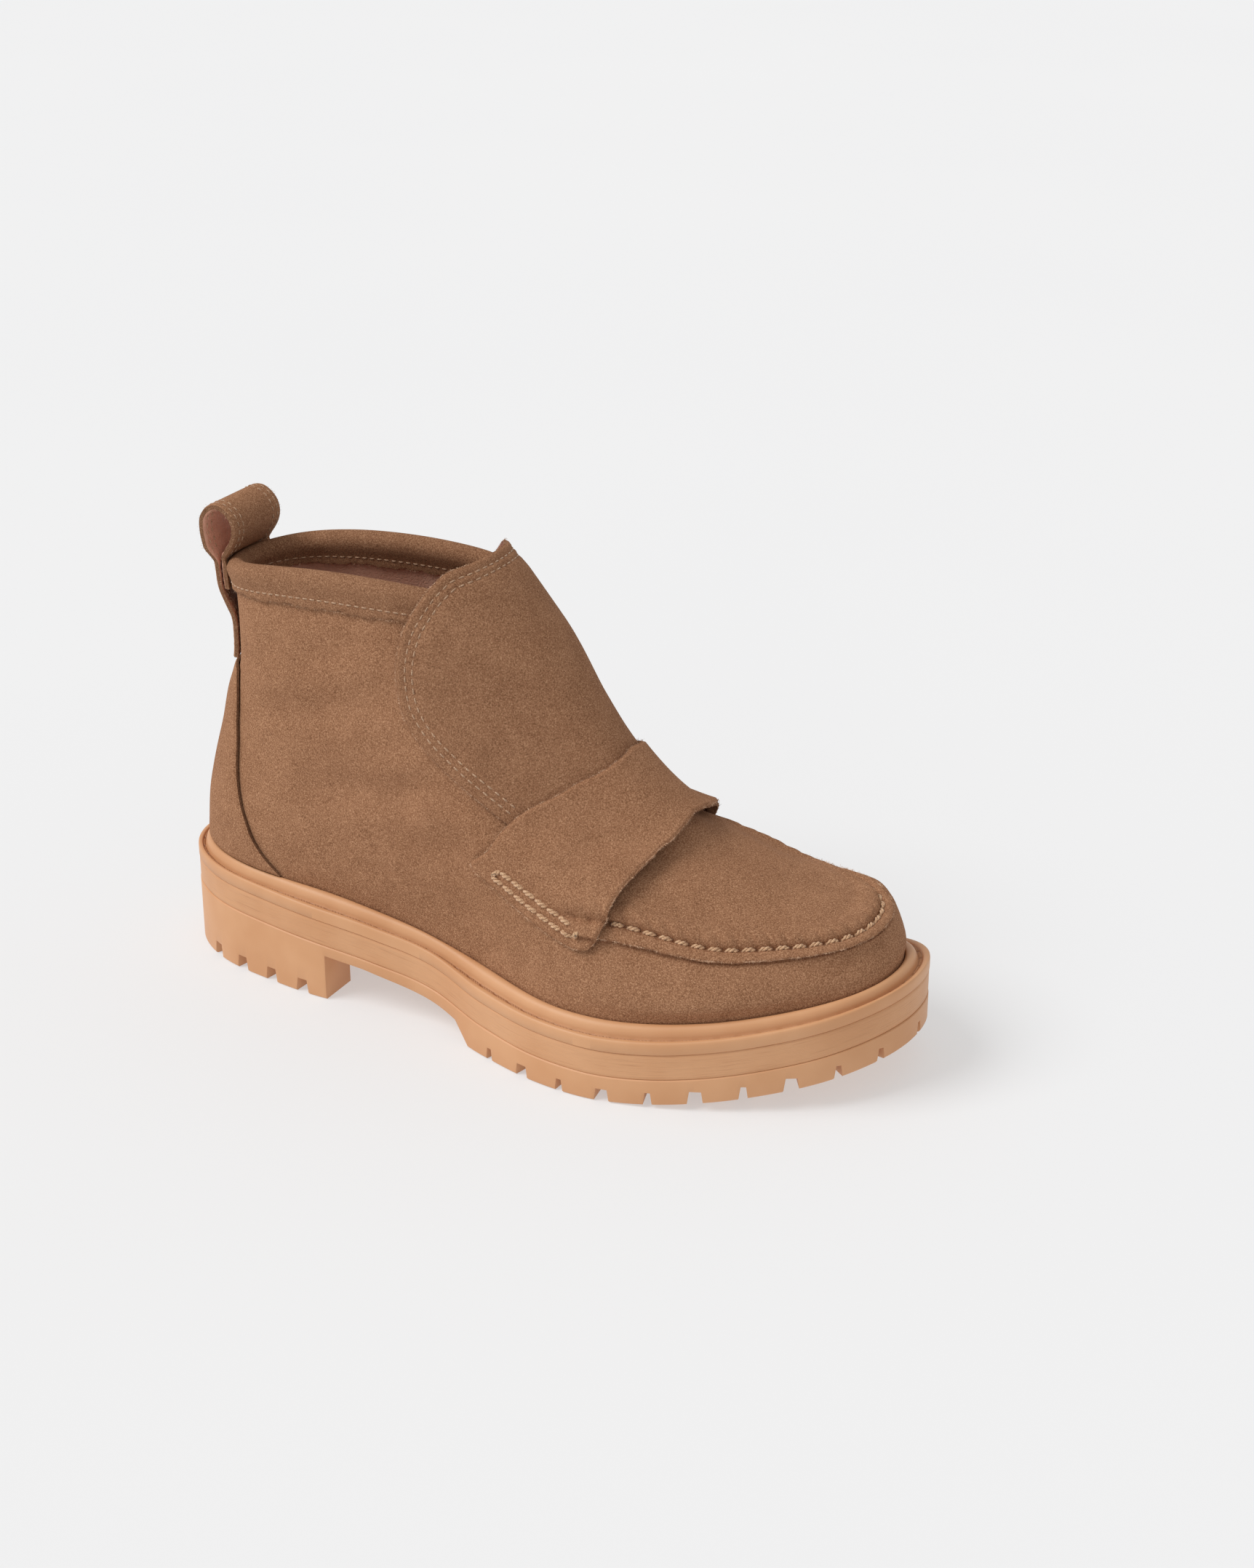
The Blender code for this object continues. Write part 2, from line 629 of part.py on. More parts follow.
def make_binding(look, parts):
    """Folded band over the rim: down the outside, over the top and down the inside."""
    place = around()
    rim_normal = outward(RIM + 0 * place, place)
    rim = surface(RIM, place)
    thick = BINDING_THICKNESS
    low_outside, mid_outside, low_inside = 9.60, 9.80, 9.66

    def beside(level, offset):
        return surface(level, place) + outward(level + 0 * place, place) * offset

    def above(offset, height):
        return rim + rim_normal * offset + np.array([0, 0, height])

    out, inn = GAP, -WALL - GAP
    rings = [
        beside(low_outside, out), beside(low_outside, out + thick), beside(mid_outside, out + thick),
        above(out + thick, 0), above(out + thick * 0.45, GAP + thick * 0.75),
        above(-WALL / 2, GAP + thick), above(inn - thick * 0.45, GAP + thick * 0.75),
        above(inn - thick, 0), beside(mid_outside, inn - thick), beside(low_inside, inn - thick),
        beside(low_inside, inn), beside(mid_outside, inn), above(inn, GAP),
        above(out, GAP), beside(mid_outside, out),
    ]
    add_rings("collar_binding", rings, look, parts, True)


def make_panel(look, parts):
    rows = np.linspace(0, 1, 20)[:, None]
    across = np.linspace(-1, 1, 19)[None, :]
    level, span, rise = smooth(PANEL_TABLE[:, 0], PANEL_TABLE[:, 1:], rows[:, 0]).T
    level = level[:, None] + rise[:, None] * (1 - across**2)
    place = span[:, None] * across
    seat = LAP_GAP + (BINDING_THICKNESS + GAP) * ease(level, 8.6, 9.25)
    inner = skin(level, place, seat)
    outer = skin(level, place, seat + PANEL_THICKNESS)
    add_slab("tongue_panel", inner, outer, look, parts)


def make_strap(look, parts):
    share = np.linspace(-1, 1, 25)[:, None]
    across = np.linspace(0, 1, 7)[None, :]
    rear_level, rear_place, front_level, front_place = smooth(
        STRAP_TABLE[:, 0], STRAP_TABLE[:, 1:], np.abs(share[:, 0])).T[:, :, None]
    level = rear_level + (front_level - rear_level) * across
    place = np.sign(share) * (rear_place + (front_place - rear_place) * across)
    raised = 1 - ease(np.abs(share), STRAP_RAISED, STRAP_SEATED)
    seat = LAP_GAP + (PANEL_THICKNESS + LAP_GAP) * raised + STRAP_LIFT * across**3 * (1 - np.abs(share) ** 3)
    inner = skin(level, place, seat)
    outer = skin(level, place, seat + STRAP_THICKNESS)
    add_slab("saddle_strap", inner, outer, look, parts)


def make_counter(look, parts):
    lowest, highest = COUNTER_TABLE[[0, -1], 0]
    level = np.array([lowest, *[item for item in OUTER_LEVELS if lowest < item < highest], highest])
    edge = smooth(COUNTER_TABLE[:, 0], COUNTER_TABLE[:, 1], level)[:, None]
    across = np.linspace(-1, 1, 13)[None, :]
    place = 1 - (1 - edge) * np.abs(across)
    place = np.where(across < 0, -place, place)
    level = ring_level(level[:, None], place)
    inner = skin(level, place, LAP_GAP)
    outer = skin(level, place, LAP_GAP + COUNTER_THICKNESS)
    add_slab("heel_counter", inner, outer, look, parts)


def make_loop(look, parts):
    """Strip folded into a pull loop, both legs lying on the back of the shaft and bent round it."""
    rim = surface(RIM, 1.0)
    knots = np.linspace(0, 1, len(LOOP_TABLE))
    path = smooth(knots, LOOP_TABLE * LOOP_SIZE, np.linspace(0, 1, 34))
    path[:, 1] += rim[2]
    tangent = np.gradient(path, axis=0)
    tangent /= np.linalg.norm(tangent, axis=1)[:, None]
    side = np.column_stack([-tangent[:, 1], tangent[:, 0]])
    backs = surface(np.linspace(7, RIM, 40), 1.0)
    shaft_back = np.interp(path[:, 1], backs[:, 2], backs[:, 0])
    leg_seat = GAP + LOOP_THICKNESS / 2
    across = np.linspace(-1, 1, 7) * LOOP_WIDTH / 2
    round_back = RING_TABLE[-2, 14] * HALF_BALL * 1.25
    bend = round_back - np.sqrt(round_back**2 - across**2)
    wrapped = 1 - ease(path[:, 1], rim[2], rim[2] + LOOP_SIZE / 4)
    grids = []
    for offset in (-0.5, 0.5):
        spot = path + side * offset * LOOP_THICKNESS
        x = spot[:, 0] + shaft_back - leg_seat
        grid = np.stack([
            x[:, None] + wrapped[:, None] * bend[None, :],
            0 * x[:, None] + across[None, :] + rim[1],
            spot[:, 1][:, None] + 0 * across[None, :],
        ], -1)
        grids.append(grid)
    add_slab("pull_loop", grids[0], grids[1], look, parts)


def clear_scene():
    for item in list(bpy.data.objects):
        bpy.data.objects.remove(item, do_unlink=True)


def main():
    clear_scene()
    parts = bpy.data.collections.new("moccasin_boot")
    cutter_collection = bpy.data.collections.new("cutters")
    for collection in (parts, cutter_collection):
        bpy.context.scene.collection.children.link(collection)
    looks = {
        "rubber": material("gum_rubber", (0.60, 0.34, 0.17), 0.55),
        "suede": material("brown_suede", (0.21, 0.13, 0.085), 0.95),
        "leather": material("pink_tan_leather", (0.42, 0.24, 0.18), 0.6),
    }
    make_sole(looks, parts, cutter_collection)
    make_welt(looks["rubber"], parts)
    make_upper(looks["suede"], parts)
    make_insole(looks["leather"], parts)
    make_binding(looks["suede"], parts)
    make_panel(looks["suede"], parts)
    make_strap(looks["suede"], parts)
    make_counter(looks["suede"], parts)
    make_loop(looks["suede"], parts)


main()
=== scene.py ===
# %% [markdown]
# # A suede moccasin boot on a lugged rubber sole
# This lesson dresses a finished model of a woman's right boot. The model's pieces give every size, so each
# new mesh here is worked out from the same lengths, in metres, with the toe at +X and the floor at z = 0.

# %% Load the frame
from math import pi, radians

import bmesh
import bpy
import numpy as np
from mathutils import Matrix, Vector
from mathutils.bvhtree import BVHTree
from mathutils.kdtree import KDTree


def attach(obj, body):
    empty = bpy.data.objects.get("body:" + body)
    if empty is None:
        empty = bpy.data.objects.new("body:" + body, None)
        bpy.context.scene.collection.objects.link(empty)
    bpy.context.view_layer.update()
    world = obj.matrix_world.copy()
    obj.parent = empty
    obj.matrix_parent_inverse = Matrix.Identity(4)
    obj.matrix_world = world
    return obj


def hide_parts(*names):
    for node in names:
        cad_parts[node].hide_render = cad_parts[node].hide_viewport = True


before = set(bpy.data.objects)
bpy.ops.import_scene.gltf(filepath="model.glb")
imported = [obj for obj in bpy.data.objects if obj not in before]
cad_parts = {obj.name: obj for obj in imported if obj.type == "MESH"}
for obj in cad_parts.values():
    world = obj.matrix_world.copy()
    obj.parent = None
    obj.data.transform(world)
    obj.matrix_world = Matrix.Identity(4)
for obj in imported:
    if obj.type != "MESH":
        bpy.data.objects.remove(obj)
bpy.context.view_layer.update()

PIECES = bpy.data.collections.new("boot_pieces")
bpy.context.scene.collection.children.link(PIECES)

# %% [markdown]
# ## The sole's sizes
# A sole is drawn first from above, as a middle line and a half width, and then from the side, as the height
# of its welt. Short tables hold both, as shares of a few lengths, and a smooth curve joins their rows.

# %% Sizes of the sole
SOLE_LENGTH = 0.283
BALL_WIDTH = 0.106
HEEL_HEIGHT = 0.0386
FOREPART_HEIGHT = 0.0240
TOE_SPRING = 0.016
HEEL_END_RADIUS = 0.034
TOE_END_RADIUS = 0.044
WELT_THICKNESS = 0.0048
WELT_REACH = 0.0075
BEAD_HEIGHT = 0.0036
RIBBED_BAND = 0.0093
EDGE_ROUNDING = 0.0006
HEEL_LENGTH = 0.075
ARCH_HEIGHT = 0.0176
BREAST_RECESS_DEPTH = 0.008
BREAST_RECESS_WIDTH = 0.040
NOTCH_PITCH = 0.0160
NOTCH_HEIGHT = 0.0047
NOTCH_DEPTH = 0.014
NARROW_NOTCH = 0.0018
WIDE_NOTCH = 0.0040
TOE_LUG = 0.0208
HEEL_NOTCH_PITCH = 0.0148
HEEL_NOTCH_HEIGHT = 0.0055
BREAST_LUG = 0.0105
HEEL_NOTCHES = 4
GROOVES = 5
GROOVE_START = 0.565
GROOVE_LENGTH = 0.009
GROOVE_PITCH = 0.019
GROOVE_DEPTH = 0.0035
SIDE_STEPS = 28

# Sole outline from heel to toe: place along the sole as a share of SOLE_LENGTH, then the middle line
# and the half width as shares of half of BALL_WIDTH
SOLE_TABLE = np.array([
    # along, middle, half_width
    (0.042, 0.019, 0.453),
    (0.088, 0.008, 0.591),
    (0.159, -0.015, 0.666),
    (0.247, -0.060, 0.683),
    (0.336, -0.081, 0.653),
    (0.424, -0.083, 0.664),
    (0.512, -0.125, 0.804),
    (0.601, -0.119, 0.947),
    (0.671, -0.092, 1.000),
    (0.742, -0.049, 0.974),
    (0.813, 0.004, 0.891),
    (0.883, 0.068, 0.766),
    (0.933, 0.113, 0.634),
    (0.972, 0.151, 0.443),
])

# Top of the welt: place along the sole, and how much of the heel's extra height is left there
SHELF_TABLE = np.array([
    # along, extra
    (0.0, 1.0), (0.141, 0.93), (0.265, 0.795), (0.371, 0.53),
    (0.477, 0.19), (0.565, 0.05), (0.661, 0.0), (1.0, 0.0),
])

# Underside of the arch: place along the sole, and height as a share of ARCH_HEIGHT
ARCH_TABLE = np.array([
    # along, height
    (0.320, 0.90), (0.395, 0.68), (0.463, 0.455), (0.494, -0.10),
])

# %% Smooth curves through a table
def smooth(places, values, at):
    """Cubic curve through the given values, which may be rows of several columns."""
    places, values, at = (np.asarray(item, float) for item in (places, values, at))
    flat = values.ndim == 1
    values = values.reshape(len(places), -1)
    width = np.diff(places)[:, None]
    slope = np.diff(values, axis=0) / width
    inner = (slope[:-1] * width[1:] + slope[1:] * width[:-1]) / (width[1:] + width[:-1])
    first = 1.5 * slope[:1] - 0.5 * inner[:1]
    last = 1.5 * slope[-1:] - 0.5 * inner[-1:]
    tangent = np.vstack([first, inner, last])
    index = np.clip(np.searchsorted(places, at, side="right") - 1, 0, len(places) - 2)
    step = width[index]
    t = ((at - places[index]))[..., None] / step
    result = (values[index] * (2 * t**3 - 3 * t**2 + 1) + tangent[index] * step * (t**3 - 2 * t**2 + t)
              + values[index + 1] * (3 * t**2 - 2 * t**3) + tangent[index + 1] * step * (t**3 - t**2))
    return result[..., 0] if flat else result


def ease(value, start, end):
    """0 at start, 1 at end, with soft ends."""
    t = np.clip((np.asarray(value, float) - start) / (end - start), 0, 1)
    return t * t * (3 - 2 * t)


def turn_of(share):
    """Where a share of a ring's length lies on its half turn from back (0) to front (1)."""
    return np.arccos(np.clip(1 - 2 * np.asarray(share, float), -1, 1)) / pi

# %% Outline and height of the sole
HALF_BALL = BALL_WIDTH / 2
SOLE_TURNS = np.r_[0, turn_of(SOLE_TABLE[:, 0]), 1]
SOLE_FULLNESS = np.r_[
    (HEEL_END_RADIUS * SOLE_LENGTH / 2) ** 0.5,
    SOLE_TABLE[:, 2] * HALF_BALL / np.sin(pi * SOLE_TURNS[1:-1]),
    (TOE_END_RADIUS * SOLE_LENGTH / 2) ** 0.5,
]
SOLE_MIDDLE = np.r_[SOLE_TABLE[0, 1], SOLE_TABLE[:, 1], SOLE_TABLE[-1, 1]] * HALF_BALL


def sole_half(turn):
    return smooth(SOLE_TURNS, SOLE_FULLNESS, turn) * np.sin(pi * turn)


def sole_middle(turn):
    return smooth(SOLE_TURNS, SOLE_MIDDLE, turn)


def sole_along(turn):
    return SOLE_LENGTH * (1 - np.cos(pi * turn)) / 2


def spring(x):
    """Height of the tread above the floor: the toe springs up ahead of the ball."""
    start = SHELF_TABLE[-2, 0]
    return TOE_SPRING * np.clip((x / SOLE_LENGTH - start) / (1 - start), 0, None) ** 2


def shelf(x):
    """Height of the top of the welt."""
    extra = smooth(SHELF_TABLE[:, 0], SHELF_TABLE[:, 1], x / SOLE_LENGTH)
    return FOREPART_HEIGHT + (HEEL_HEIGHT - FOREPART_HEIGHT) * extra + spring(x)


def around():
    """Places round a ring: from the back along the outer side to the toe and back on the inner side."""
    outer = np.linspace(-1, 0, SIDE_STEPS + 1)
    return np.r_[outer, np.linspace(0, 1, SIDE_STEPS + 1)[1:-1]]


def sole_edge(place, inset=0.0):
    """Point on the sole's outline. A place runs from -1 at the heel over 0 at the toe to 1 at the heel."""
    place = np.asarray(place, float)

    def point(at):
        at = (at + 1) % 2 - 1
        turn = 1 - np.abs(at)
        return np.stack([sole_along(turn), sole_middle(turn) + np.sign(at) * sole_half(turn)], -1)

    step = 1e-4
    tangent = point(place + step) - point(place - step)
    tangent /= np.linalg.norm(tangent, axis=-1)[..., None]
    inward = np.stack([-tangent[..., 1], tangent[..., 0]], -1)
    return point(place) + inward * inset, inward


def first_seam(x):
    """Underside of the welt."""
    return shelf(x) - WELT_THICKNESS


def second_seam(x):
    """Underside of the ribbed band."""
    return first_seam(x) - RIBBED_BAND


def footprint_middle():
    edge, _ = sole_edge(around())
    return np.r_[(edge.min(0) + edge.max(0)) / 2, 0]


ORIGIN = footprint_middle()

print("sole, mm:", round(SOLE_LENGTH * 1000), "long, welt at the heel", round(float(shelf(0.0)) * 1000, 1))

# %% [markdown]
# ## The upper as rings
# A last has no flat side, so the upper is a stack of egg-shaped rings, from the welt to above the collar. A
# point on it has a level, which counts the rings, and a place, which runs from -1 at the heel along the outer
# side to 0 at the toe and back to 1. Every overlay, stitch and crease is then placed by level and place.

# %% Sizes of the upper
SHAFT_RISE = 0.1115
WALL = 0.0020
SHOULDER_RISE = 0.0060
SEAM_RISE = 0.0045
GAP = 0.00035
LAP_GAP = 0.0005
INSOLE_THICKNESS = 0.0032
BINDING_THICKNESS = 0.0011
PANEL_THICKNESS = 0.0015
STRAP_THICKNESS = 0.0020
STRAP_LIFT = 0.0022
COUNTER_THICKNESS = 0.0014
LOOP_WIDTH = 0.028
LOOP_THICKNESS = 0.0024

# Rings of the upper from the welt to above the collar. Lengths along the foot are shares of SOLE_LENGTH,
# rises above the welt are shares of SHAFT_RISE, widths, middles and end radii are shares of half of
# BALL_WIDTH, and follow is how closely the ring keeps to the curve of the welt.
RING_STATIONS = np.array([0.10, 0.28, 0.46, 0.64, 0.80, 0.92])
MIDDLE_STATIONS = np.array([0.28, 0.64, 0.92])
RING_TABLE = np.array([
    # back, front, back_rise, front_rise, crown, w10, w28, w46, w64, w80, w92, m28, m64, m92,
    # r_back, r_front, follow
    (.029, .972, .103, .072, 0, .502, .557, .570, .845, .850, .620, -.062, -.087, .114, .528, .698, .90),
    (.032, .959, .179, .126, 0, .502, .564, .594, .853, .820, .610, -.057, -.042, .139, .509, .698, .70),
    (.035, .947, .233, .157, 0, .498, .570, .606, .785, .730, .536, -.047, -.067, .098, .509, .679, .55),
    (.044, .908, .332, .186, 0, .483, .572, .617, .735, .650, .460, -.028, -.060, .094, .491, .623, .25),
    (.057, .835, .448, .212, 0, .462, .572, .623, .690, .565, .380, -.013, -.038, .075, .472, .453, 0),
    (.067, .725, .556, .300, 0, .443, .574, .615, .640, .500, .320, .000, -.023, .057, .453, .377, 0),
    (.083, .624, .673, .520, 0, .430, .555, .591, .575, .445, .283, .000, -.011, .038, .453, .358, 0),
    (.085, .548, .807, .789, 0, .400, .513, .543, .521, .415, .283, -.006, .000, .019, .430, .358, 0),
    (.080, .472, .981, 1.011, .049, .340, .430, .442, .438, .406, .302, -.025, -.025, 0, .377, .377, 0),
    (.078, .432, 1.085, 1.109, .049, .340, .430, .442, .438, .406, .302, -.025, -.025, 0, .377, .377, 0),
])
RIM = 10.0

# The inner side of the toe box stands higher than the outer side, most of all at its shoulder and, further
# back, at the seam: level, and rises as shares of SHOULDER_RISE and SEAM_RISE
INNER_SIDE_TABLE = np.array([
    # level, shoulder, seam
    (1.4, 0.0, 0.0), (2.2, 0.5, 0.1), (3.0, 1.0, 0.6), (3.6, 0.8, 0.8), (4.2, 0.1, 1.0), (5.0, 0.0, 0.7),
    (6.0, 0.0, 0.35), (7.5, 0.0, 0.0),
])

# The moccasin seam runs along level SEAM of the rings and climbs where it goes back under the strap.
SEAM = 4.2
SEAM_CLIMB = 0.55

# %% The upper's surface
def feather_row(rise):
    """Ring where the upper meets the sole, WELT_REACH inside the sole's edge."""
    back = WELT_REACH
    front = SOLE_LENGTH - WELT_REACH
    along = (back + (front - back) * RING_STATIONS) / SOLE_LENGTH
    turn = turn_of(along)
    step = 1e-3
    forward = sole_along(turn + step) - sole_along(turn - step)
    flare = (sole_half(turn + step) - sole_half(turn - step)) / forward
    widths = sole_half(turn) - WELT_REACH * np.sqrt(1 + flare**2)
    middles = sole_middle(turn_of((back + (front - back) * MIDDLE_STATIONS) / SOLE_LENGTH))
    return [back, front, rise, rise, 0, *widths, *middles, HEEL_END_RADIUS - WELT_REACH,
            TOE_END_RADIUS - WELT_REACH, 1]


RING_UNITS = np.array([SOLE_LENGTH] * 2 + [SHAFT_RISE] * 3 + [HALF_BALL] * 11 + [1])
RINGS = np.vstack([feather_row(-WELT_THICKNESS), feather_row(BEAD_HEIGHT + GAP), RING_TABLE * RING_UNITS])
RING_TURNS = np.r_[0, turn_of(RING_STATIONS), 1]
MIDDLE_TURNS = turn_of(np.r_[0, MIDDLE_STATIONS, 1])


def inner_side_rise(level, place):
    """How much higher the inner side of the toe box stands."""
    levels, shoulder, seam = INNER_SIDE_TABLE.T
    behind = 1 - ease(place, 0.42, 0.62)
    rise = SHOULDER_RISE * ease(place, 0.05, 0.17) * np.interp(level, levels, shoulder)
    return (rise + SEAM_RISE * ease(place, 0.22, 0.33) * np.interp(level, levels, seam)) * behind


def surface(level, place):
    """Point on the smooth upper. Level counts the rings up from the feather edge, place goes round."""
    level, place = np.broadcast_arrays(np.asarray(level, float), np.asarray(place, float))
    shape = level.shape
    level = level.ravel()
    place = (place.ravel() + 1) % 2 - 1
    row = smooth(np.arange(len(RINGS)), RINGS, level)
    back, front, back_rise, front_rise, crown = row[:, :5].T
    length = front - back
    turn = 1 - np.abs(place)
    fullness = np.column_stack([
        np.sqrt(row[:, 14] * length / 2),
        row[:, 5:11] / np.sin(pi * RING_TURNS[1:-1]),
        np.sqrt(row[:, 15] * length / 2),
    ])
    middle = np.column_stack([0 * back, row[:, 11:14], row[:, 13]])
    half = (smooth(RING_TURNS, np.eye(8), turn) * fullness).sum(1) * np.sin(pi * turn)
    share = (1 - np.cos(pi * turn)) / 2
    x = back + length * share
    y = (smooth(MIDDLE_TURNS, np.eye(5), turn) * middle).sum(1) + np.sign(place) * half
    straight = HEEL_HEIGHT * (1 - x / SOLE_LENGTH) + (FOREPART_HEIGHT + TOE_SPRING) * x / SOLE_LENGTH
    base = row[:, 16] * shelf(x) + (1 - row[:, 16]) * straight
    z = base + back_rise + (front_rise - back_rise) * share + crown * 4 * share * (1 - share)
    z = z + inner_side_rise(level, place)
    return np.stack([x, y, z], -1).reshape(shape + (3,))


def outward(level, place):
    """Unit normal of the smooth upper, pointing out of the boot."""
    step = 1e-3
    up = surface(level + step, place) - surface(level - step, place)
    along = surface(level, place + step) - surface(level, place - step)
    normal = np.cross(along, up)
    return normal / np.linalg.norm(normal, axis=-1)[..., None]

# %% [markdown]
# ## From grids to meshes
# Leather and rubber sheets are grids of points. A grid becomes a mesh in one call, and a sheet with a
# thickness is two grids joined round their border, with a material each for its face, cut edge and back.

# %% Meshes from grids
def new_piece(name, points, faces, looks, indices=None, crease=pi / 4):
    """A smooth mesh among the boot's pieces."""
    mesh = bpy.data.meshes.new(name)
    points = np.asarray(points, float) - ORIGIN
    mesh.from_pydata(points.tolist(), [], [list(map(int, face)) for face in faces])
    for look in looks:
        mesh.materials.append(look)
    if indices is not None:
        mesh.polygons.foreach_set("material_index", np.asarray(indices, np.int32))
    mesh.shade_smooth()
    if crease:
        mesh.set_sharp_from_angle(angle=crease)
    mesh.validate()
    piece = bpy.data.objects.new(name, mesh)
    PIECES.objects.link(piece)
    return piece


def grid_faces(rows, columns, start=0, wrap_rows=False, wrap_columns=False):
    """Quads of a grid whose points are stored row by row."""
    i = np.arange(rows if wrap_rows else rows - 1)[:, None]
    j = np.arange(columns if wrap_columns else columns - 1)[None, :]
    next_i = (i + 1) % rows
    next_j = (j + 1) % columns
    corners = [i * columns + j, i * columns + next_j, next_i * columns + next_j, next_i * columns + j]
    return np.stack([start + corner + 0 * i + 0 * j for corner in corners], -1).reshape(-1, 4)


def turn_outward(piece):
    """Turns the faces of a closed piece so that they face out."""
    body = bmesh.new()
    body.from_mesh(piece.data)
    bmesh.ops.recalc_face_normals(body, faces=body.faces)
    body.to_mesh(piece.data)
    body.free()
    return piece


def border_of(rows, columns):
    """Indices round the border of a grid, in order."""
    border = list(range(columns))
    border += [i * columns + columns - 1 for i in range(1, rows)]
    border += [(rows - 1) * columns + j for j in range(columns - 2, -1, -1)]
    border += [i * columns for i in range(rows - 2, 0, -1)]
    return border


def sheet_piece(name, inner, outer, looks):
    """Closed sheet between two grids. Its looks are for the face, the cut edge and the back."""
    rows, columns = inner.shape[:2]
    size = rows * columns
    back = grid_faces(rows, columns)
    face = grid_faces(rows, columns, size)[:, ::-1]
    ring = np.array(border_of(rows, columns))
    after = np.roll(ring, -1)
    edge = np.stack([after, ring, size + ring, size + after], 1)
    kinds = [2] * len(back) + [0] * len(face) + [1] * len(edge)
    points = np.vstack([inner.reshape(-1, 3), outer.reshape(-1, 3)])
    piece = new_piece(name, points, [*back, *face, *edge], looks, kinds)
    return turn_outward(piece)


def ring_piece(name, rings, looks, kinds=None):
    """Closed piece from closed rings, with the last ring joined to the first."""
    rings = np.asarray(rings)
    faces = grid_faces(*rings.shape[:2], wrap_rows=True, wrap_columns=True)
    indices = None if kinds is None else np.repeat(kinds, rings.shape[1])
    return turn_outward(new_piece(name, rings.reshape(-1, 3), faces, looks, indices))


def capped_piece(name, rings, looks):
    """Closed piece from closed rings, with strips across its first and its last ring."""
    rings = np.asarray(rings)
    count = rings.shape[1]
    faces = [list(face) for face in grid_faces(*rings.shape[:2], wrap_columns=True)]
    for start in (0, (len(rings) - 1) * count):
        for i in range(count // 2):
            corners = (i, i + 1, (count - i - 1) % count, (count - i) % count)
            faces.append([start + corner for corner in dict.fromkeys(corners)])
    return turn_outward(new_piece(name, rings.reshape(-1, 3), faces, looks))


# %% [markdown]
# ## Shader maths as plain expressions
# A material's maths reads best as a formula. A small class wraps a socket, and its operators add Math nodes,
# so `mask * 0.5 + grain` builds the nodes. Every other node comes from one method.

# %% Sockets that can be added and multiplied
class Wire:
    """A number socket that can be used in arithmetic."""

    def __init__(self, tree, socket):
        self.tree = tree
        self.socket = socket

    def math(self, operation, *values):
        node = self.tree.nodes.new("ShaderNodeMath")
        node.operation = operation
        for slot, value in zip(node.inputs, values):
            if isinstance(value, Wire):
                self.tree.links.new(value.socket, slot)
            else:
                slot.default_value = value
        return Wire(self.tree, node.outputs[0])

    def __add__(self, other):
        return self.math("ADD", self, other)

    def __mul__(self, other):
        return self.math("MULTIPLY", self, other)

    def between(self, low, high):
        """0 below low, 1 above high, and a soft rise between them."""
        node = self.tree.nodes.new("ShaderNodeMapRange")
        node.interpolation_type = "SMOOTHSTEP"
        self.tree.links.new(self.socket, node.inputs["Value"])
        node.inputs["From Min"].default_value = low
        node.inputs["From Max"].default_value = high
        return Wire(self.tree, node.outputs["Result"])


class Finish:
    """A material whose nodes are added by node()."""

    def __init__(self, name, **constants):
        self.material = bpy.data.materials.new(name)
        self.material.use_nodes = True
        self.tree = self.material.node_tree
        self.shader = self.tree.nodes["Principled BSDF"]
        for socket, value in constants.items():
            self.shader.inputs[socket.replace("_", " ")].default_value = value

    def node(self, kind, settings=None, inputs=None, output=0):
        """One node: its settings first, then its sockets, as values or wires."""
        node = self.tree.nodes.new(kind)
        for name, value in (settings or {}).items():
            if name == "stops":
                ramp = node.color_ramp
                while len(ramp.elements) < len(value):
                    ramp.elements.new(0.5)
                for element, (position, colour) in zip(ramp.elements, value):
                    element.position = position
                    element.color = (*colour, 1)
            else:
                setattr(node, name, value)
        for name, value in (inputs or {}).items():
            if isinstance(value, Wire):
                self.tree.links.new(value.socket, node.inputs[name])
            else:
                node.inputs[name].default_value = value
        return Wire(self.tree, node.outputs[output])

    def place(self):
        """Where a point lies on the boot, in metres."""
        return self.node("ShaderNodeTexCoord", output="Object")

    def stored(self, name):
        """A number that the mesh stores at each point."""
        return self.node("ShaderNodeAttribute", {"attribute_name": name}, output="Fac")

    def noise(self, scale, detail=2.0, roughness=0.5, at=None, distortion=0.0):
        values = {"Vector": at or self.place(), "Scale": scale, "Detail": detail, "Roughness": roughness,
                  "Distortion": distortion}
        return self.node("ShaderNodeTexNoise", inputs=values)

    def blend(self, factor, first, second):
        """Colour between two colours, which may be values or wires."""
        settings = {"data_type": "RGBA"}
        return self.node("ShaderNodeMix", settings, {0: factor, 6: first, 7: second}, output=2)

    def bump(self, height, distance, strength=1.0):
        values = {"Height": height, "Distance": distance, "Strength": strength}
        return self.node("ShaderNodeBump", inputs=values)

    def feed(self, **links):
        for socket, wire in links.items():
            self.tree.links.new(wire.socket, self.shader.inputs[socket.replace("_", " ")])
        return self.material


def tint(red, green, blue):
    """A screen colour, 0 to 255, as the shader's linear colour."""
    screen = np.array([red, green, blue]) / 255
    linear = np.where(screen <= 0.04045, screen / 12.92, ((screen + 0.055) / 1.055) ** 2.4)
    return (*linear.tolist(), 1.0)


# %% [markdown]
# ## Suede
# Suede is the flesh side of leather, brushed up into a nap. Seen close it is a speckle of lit fibre tips and
# dark gaps about a quarter of a millimetre apart, over soft clouds where the nap leans one way or another.
# The speckle is colour and bump together, because colour alone looks printed.

